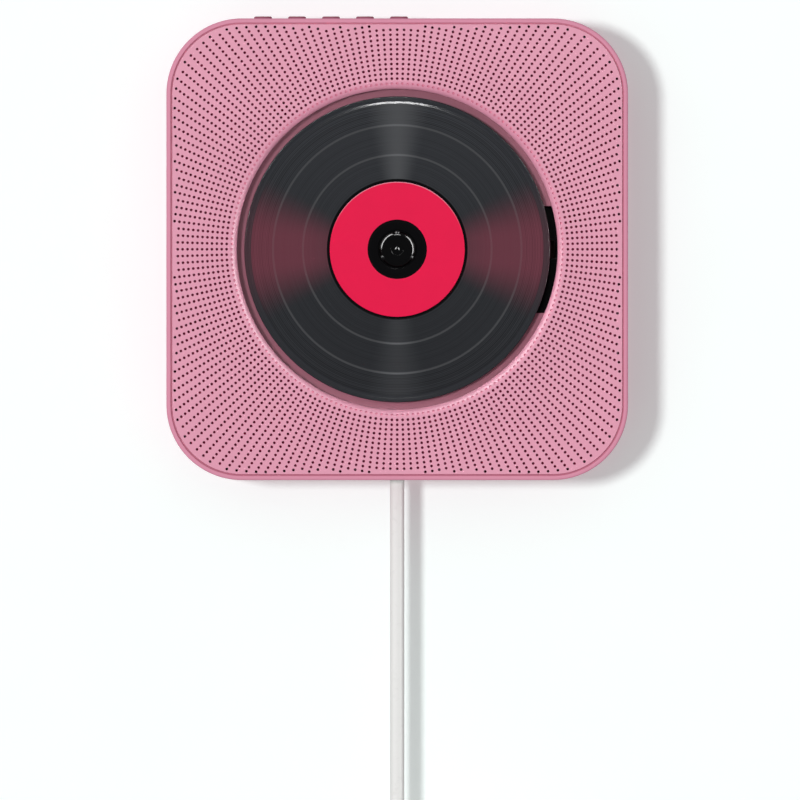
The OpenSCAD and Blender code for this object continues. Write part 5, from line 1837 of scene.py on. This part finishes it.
@dataclass
class PullLead:
    """The lead that switches the player when pulled, its coil, tie and plug, and its spring in the case."""

    width: float = 5.6
    out: float = LEAD_OUT
    exit_y: float = -90.0
    straight_end: float = -258.0
    straight_steps: int = 14
    coil_d: float = 62.0
    coil_drop: float = 6.0
    turns: int = 7
    layers: int = 4
    pitch: float = 6.15
    steps: int = 36
    tie_gap: float = 0.3
    tie_t: float = 1.0
    tie_w: float = 8.0
    tie_end_t: float = 0.7
    plug_drop: float = 6.0
    plug_length: float = 50.0
    plug_body: tuple[tuple[float, float, float, float], ...] = (
        (18.6, 4.5, 4.5, 2.0), (20.2, 5.0, 5.0, 2.1), (22, 6.6, 6.1, 2.3), (25, 10.6, 6.7, 2.7),
        (28, 14.6, 6.85, 3.2), (31, 17.0, 6.85, 3.6), (33, 17.5, 6.85, 3.8), (38, 17.5, 6.85, 3.9),
        (41, 17.0, 6.85, 3.8), (45, 14.9, 6.85, 3.6), (48.6, 13.3, 6.8, 3.4), (49.6, 12.9, 6.5, 3.3),
        (50, 12.3, 5.9, 3.2), (50, 9.0, 4.0, 3.0),
    )
    rib_depth: float = 0.55
    pin_r: float = 2.0
    pin_length: float = 19.0
    pin_bare: float = 10.0
    slider_y: float = -70.0
    spring_low: float = -82.5
    spring_r: float = 6.6
    spring_wire: float = 1.0
    spring_turns: int = 4
    pull: float = 6.0
    pin_gap: float = 18.6

    @property
    def spread(self) -> float:
        """Width of one layer of the coil, from its outer to its inner turn's middle line."""
        return self.pitch * self.turns / self.layers

    @property
    def coil_out_r(self) -> float:
        """Radius of the coil's outer turn."""
        return self.coil_d / 2 + self.spread / 2

    @property
    def coil_y(self) -> float:
        """Height of the coil's axis."""
        return self.straight_end - self.coil_drop

    @property
    def plug_top(self) -> float:
        """Height of the plug's upper end."""
        return self.coil_y - self.plug_drop

    @property
    def plug_out(self) -> float:
        """Distance of the plug's middle from the wall."""
        return self.out + self.pitch * (self.layers - 1)

    def climb(self, turn: float) -> float:
        """Works out how many layers the coil has climbed.

        Args:
            turn: Turns from the coil's start.

        Returns:
            The layers, as a smooth step between each layer and the next.
        """
        total = 0.0
        for k in range(1, self.layers):
            share = min(max((turn - k * self.turns / self.layers + 0.25) / 0.5, 0.0), 1.0)
            total += share * share * (3 - 2 * share)
        return total

    def winding_r(self, turn: float) -> float:
        """Works out the coil's radius, which goes in and out again, layer by layer.

        Args:
            turn: Turns from the coil's start.

        Returns:
            The radius.
        """
        leg = self.turns / self.layers
        layer = math.floor(min(turn, self.turns - 0.001) / leg)
        share = turn / leg - layer
        outer, inner = self.coil_out_r, self.coil_out_r - self.spread
        return outer - self.spread * share if layer % 2 == 0 else inner + self.spread * share

    def route(self) -> list[Point]:
        """The lead's middle line: straight down, round the coil, and down into the plug.

        Returns:
            Its points, face on.
        """
        drop = (self.straight_end - self.exit_y) / self.straight_steps
        points = [(0.0, self.exit_y + drop * i, self.out) for i in range(self.straight_steps + 1)]
        for i in range(self.turns * self.steps + 1):
            turn = i / self.steps
            angle, radius = math.pi + TAU * turn, self.winding_r(turn)
            x, y = self.coil_out_r + radius * math.cos(angle), self.coil_y + radius * math.sin(angle)
            points.append((x, y, self.out + self.pitch * self.climb(turn)))
        points.append((0.0, self.plug_top, self.plug_out))
        return points

    def cord_curve(self) -> bpy.types.Curve:
        """Makes the lead as one open curve along its route.

        Returns:
            The curve.
        """
        curve = bpy.data.curves.new("lead", "CURVE")
        curve.dimensions = "3D"
        curve.bevel_depth, curve.bevel_resolution = self.width / 2 * MM, 4
        curve.use_fill_caps = True
        route = self.route()
        line = curve.splines.new("POLY")
        line.points.add(len(route) - 1)
        for point, spot in zip(line.points, route):
            point.co = (*(FACE_ON @ Vector(spot)), 1.0)
        line.use_smooth = True
        return curve

    def length(self) -> float:
        """Length of the route, in metres."""
        route = [Vector(p) for p in self.route()]
        return sum((b - a).length for a, b in zip(route, route[1:])) * MM

    def tie_mesh(self) -> bpy.types.Mesh:
        """Builds the strap round the coil's right side, with its overlapping end.

        Returns:
            The mesh.
        """
        gap, thick, half_w = self.tie_gap, self.tie_t, self.tie_w / 2
        inner = self.coil_out_r - self.spread - self.width / 2 - gap
        outer = self.coil_out_r + self.width / 2 + gap
        near, far = self.plug_out + self.width / 2 + gap, self.out - self.width / 2 - gap
        half_x, half_z = (outer - inner) / 2, (near - far) / 2
        x, z = self.coil_out_r + (inner + outer) / 2, (near + far) / 2

        def loop(grow: float) -> Profile:
            """Draws the loop.

            Args:
                grow: Its distance outside the strap's inner side.

            Returns:
                Its outline, seen from above.
            """
            corner = 2.6 + grow
            spots = []
            for quarter, (sx, sz) in enumerate([(1, 1), (-1, 1), (-1, -1), (1, -1)]):
                middle_x, middle_z = x + sx * (half_x + grow - corner), z + sz * (half_z + grow - corner)
                spots += arc((middle_x, middle_z), corner, 90 * quarter, 90 * quarter + 90, 8)
            return spots

        def band(inside: float, outside: float, half: float, spots: slice) -> list[list[Point]]:
            """Draws rings across the strap, one for each spot of the loop.

            Args:
                inside, outside: How far its inner and outer faces lie outside the loop.
                half: Half its width.
                spots: The stretch of the loop that it covers.

            Returns:
                The rings.
            """
            soft = 0.15
            section = [(inside, soft - half), (inside, half - soft), (inside + soft, half)]
            section += [(outside - soft, half), (outside, half - soft), (outside, soft - half)]
            section += [(outside - soft, -half), (inside + soft, -half)]
            loops = [loop(grow)[spots] for grow, _ in section]
            return [
                [(loops[k][i][0], self.coil_y + y, loops[k][i][1]) for k, (_, y) in enumerate(section)]
                for i in range(len(loops[0]))
            ]

        strap = Shape().loft(band(0.0, thick, half_w, slice(None)), closed=True)
        last_corner = slice(27, 36)
        strap.loft(band(thick, thick + self.tie_end_t, half_w - 0.4, last_corner), capped=True)
        return smoothed(strap.mesh("tie"), 50)

    def sleeve(self, y: float, length: float, wide: float, narrow: float, ribs: int) -> Profile:
        """Draws a ribbed sleeve on the lead that tapers downwards.

        Args:
            y: Height of its upper end.
            length: Its length.
            wide: Its width at the upper end.
            narrow: Its width at the lower end.
            ribs: The number of grooves between its ribs.

        Returns:
            The profile, as radius and height.
        """
        bore, bevel, end = self.width / 2, 0.2, y - length
        profile = [(bore, y), (wide / 2 - bevel, y), (wide / 2, y - bevel)]
        for i in range(ribs):
            for share, cut in ((0.15, 0.0), (0.3, self.rib_depth), (0.6, self.rib_depth), (0.75, 0.0)):
                along = (i + share) / ribs
                radius = (wide + (narrow - wide) * along) / 2 - cut
                profile.append((radius, y - 0.3 - (length - 0.6) * along))
        return profile + [(narrow / 2, end + bevel), (narrow / 2 - bevel, end), (bore, end)]

    def plug_mesh(self) -> bpy.types.Mesh:
        """Builds the plug: a ribbed sleeve that swells into a flat, waisted body.

        Returns:
            The mesh.
        """
        # each section: its distance below the top, half its width and depth, and its squareness, 2 being round
        sections = [(0.0, 2.9, 2.9, 2.0), (0.0, 3.3, 3.3, 2.0)]
        first_rib, rib_pitch, ribs = 1.5, 3.3, 5
        for i in range(ribs):
            for share, cut in ((0.1, 0.0), (0.3, self.rib_depth), (0.6, self.rib_depth), (0.8, 0.0)):
                along = first_rib + rib_pitch * (i + share)
                radius = 3.4 + 1.1 * along / 20 - cut
                sections.append((along, radius, radius, 2.0))
        sections += self.plug_body
        rings = []
        for along, wide, deep, power in sections:
            ring = []
            for k in range(64):
                c, s = math.cos(TAU * k / 64), math.sin(TAU * k / 64)
                x = wide * math.copysign(abs(c) ** (2 / power), c)
                z = deep * math.copysign(abs(s) ** (2 / power), s)
                ring.append((x, self.plug_top - along, self.plug_out + z))
            rings.append(ring)
        return smoothed(Shape().loft(rings, capped=True).mesh("plug"), 40)

    def pin_meshes(self) -> tuple[bpy.types.Mesh, bpy.types.Mesh]:
        """Builds the plug's two pins and the sleeves on them.

        Returns:
            The mesh of the pins and the mesh of the sleeves.
        """
        face = self.plug_top - self.plug_length
        tip, bare, root = face - self.pin_length, face - self.pin_bare, face + 5.9
        radius, soft, under, bevel = self.pin_r, 1.2, self.pin_r - 0.08, 0.2
        pin = [(0, root), (radius - 0.1, root), (radius - 0.1, bare + bevel), (radius, bare)]
        pin += arc((radius - soft, tip + soft), soft, 0, -90, 5) + [(0, tip)]
        sleeve = [(under, face + 0.4), (radius, face + 0.4)]
        sleeve += [(radius, bare + 2 * bevel), (under, bare + bevel)]
        pins, sleeves = Shape(), Shape()
        for side in (-1, 1):
            spot = (side * self.pin_gap / 2, 0, self.plug_out)
            pins.turn(pin, 28, spot, Axis.UP)
            sleeves.turn(sleeve, 28, spot, Axis.UP)
        return smoothed(pins.mesh("pins"), 50), smoothed(sleeves.mesh("sleeves"), 50)

    def spring_mesh(self) -> bpy.types.Mesh:
        """Builds the return spring between its seat and the slider.

        Returns:
            The mesh.
        """
        end = self.spring_wire / 2 + 0.1
        low, high = self.spring_low + end, self.slider_y - end
        steps = 40
        count = self.spring_turns * steps
        path = []
        for i in range(count + 1):
            x, z = self.spring_r * math.cos(TAU * i / steps), self.spring_r * math.sin(TAU * i / steps)
            path.append((x, low + (high - low) * i / count, self.out - z))
        return smoothed(Shape().tube(path, self.spring_wire, 12, (0, 1, 0)).mesh("spring"), 60)

    def build(self, shop: Workshop) -> None:
        """Args:
            shop: The workshop.
        """
        lead = shop.place("lead_cord", self.cord_curve(), LEAD, Body.PULL, ["lead", "lead_coil"])
        tie = shop.place("coil_strap", self.tie_mesh(), WHITE, Body.PULL, ["lead_tie"])
        plug = shop.place("plug_moulding", self.plug_mesh(), WHITE, Body.PULL, ["plug"])
        pin_mesh, sleeve_mesh = self.pin_meshes()
        pins = shop.place("pins", pin_mesh, CHROME, Body.PULL, ["plug_pins"])
        sleeves = shop.place("pin_sleeves", sleeve_mesh, WHITE, Body.PULL)

    def build_in_case(self, shop: Workshop) -> None:
        """Builds the strain relief and the return spring.

        Args:
            shop: The workshop.
        """
        profile = self.sleeve(self.slider_y, length=20.0, wide=9.2, narrow=6.8, ribs=6)
        relief = Shape().turn(profile, 40, (0, 0, self.out), Axis.UP).mesh("relief")
        shop.place("ribbed_relief", smoothed(relief, 40), WHITE, Body.PULL, ["strain_relief"])
        spring = shop.place("return_spring", self.spring_mesh(), STEEL, Body.PLAYER, ["pull_spring"])
        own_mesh(spring)


def main() -> None:
    """Builds the studio, the lead and the player's pieces, and dresses the CAD nodes."""
    logging.basicConfig(level=logging.INFO, format="%(message)s")
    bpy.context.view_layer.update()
    studio = Studio()
    studio.build_camera()
    shop = Workshop(frame)
    lead = PullLead()
    lead.build(shop)
    lead.build_in_case(shop)
    PerforatedFront().build(shop)
    Case().build(shop)
    DiscAndHub().build(shop)
    for node, finish in NODE_FINISHES.items():
        if not shop.nodes[node].hide_render:
            shop.dress(node, finish)
    studio.build_wall()
    studio.build_world()
    studio.build_lights()
    bpy.context.scene.view_settings.view_transform = "Standard"


if __name__ == "__main__":
    main()
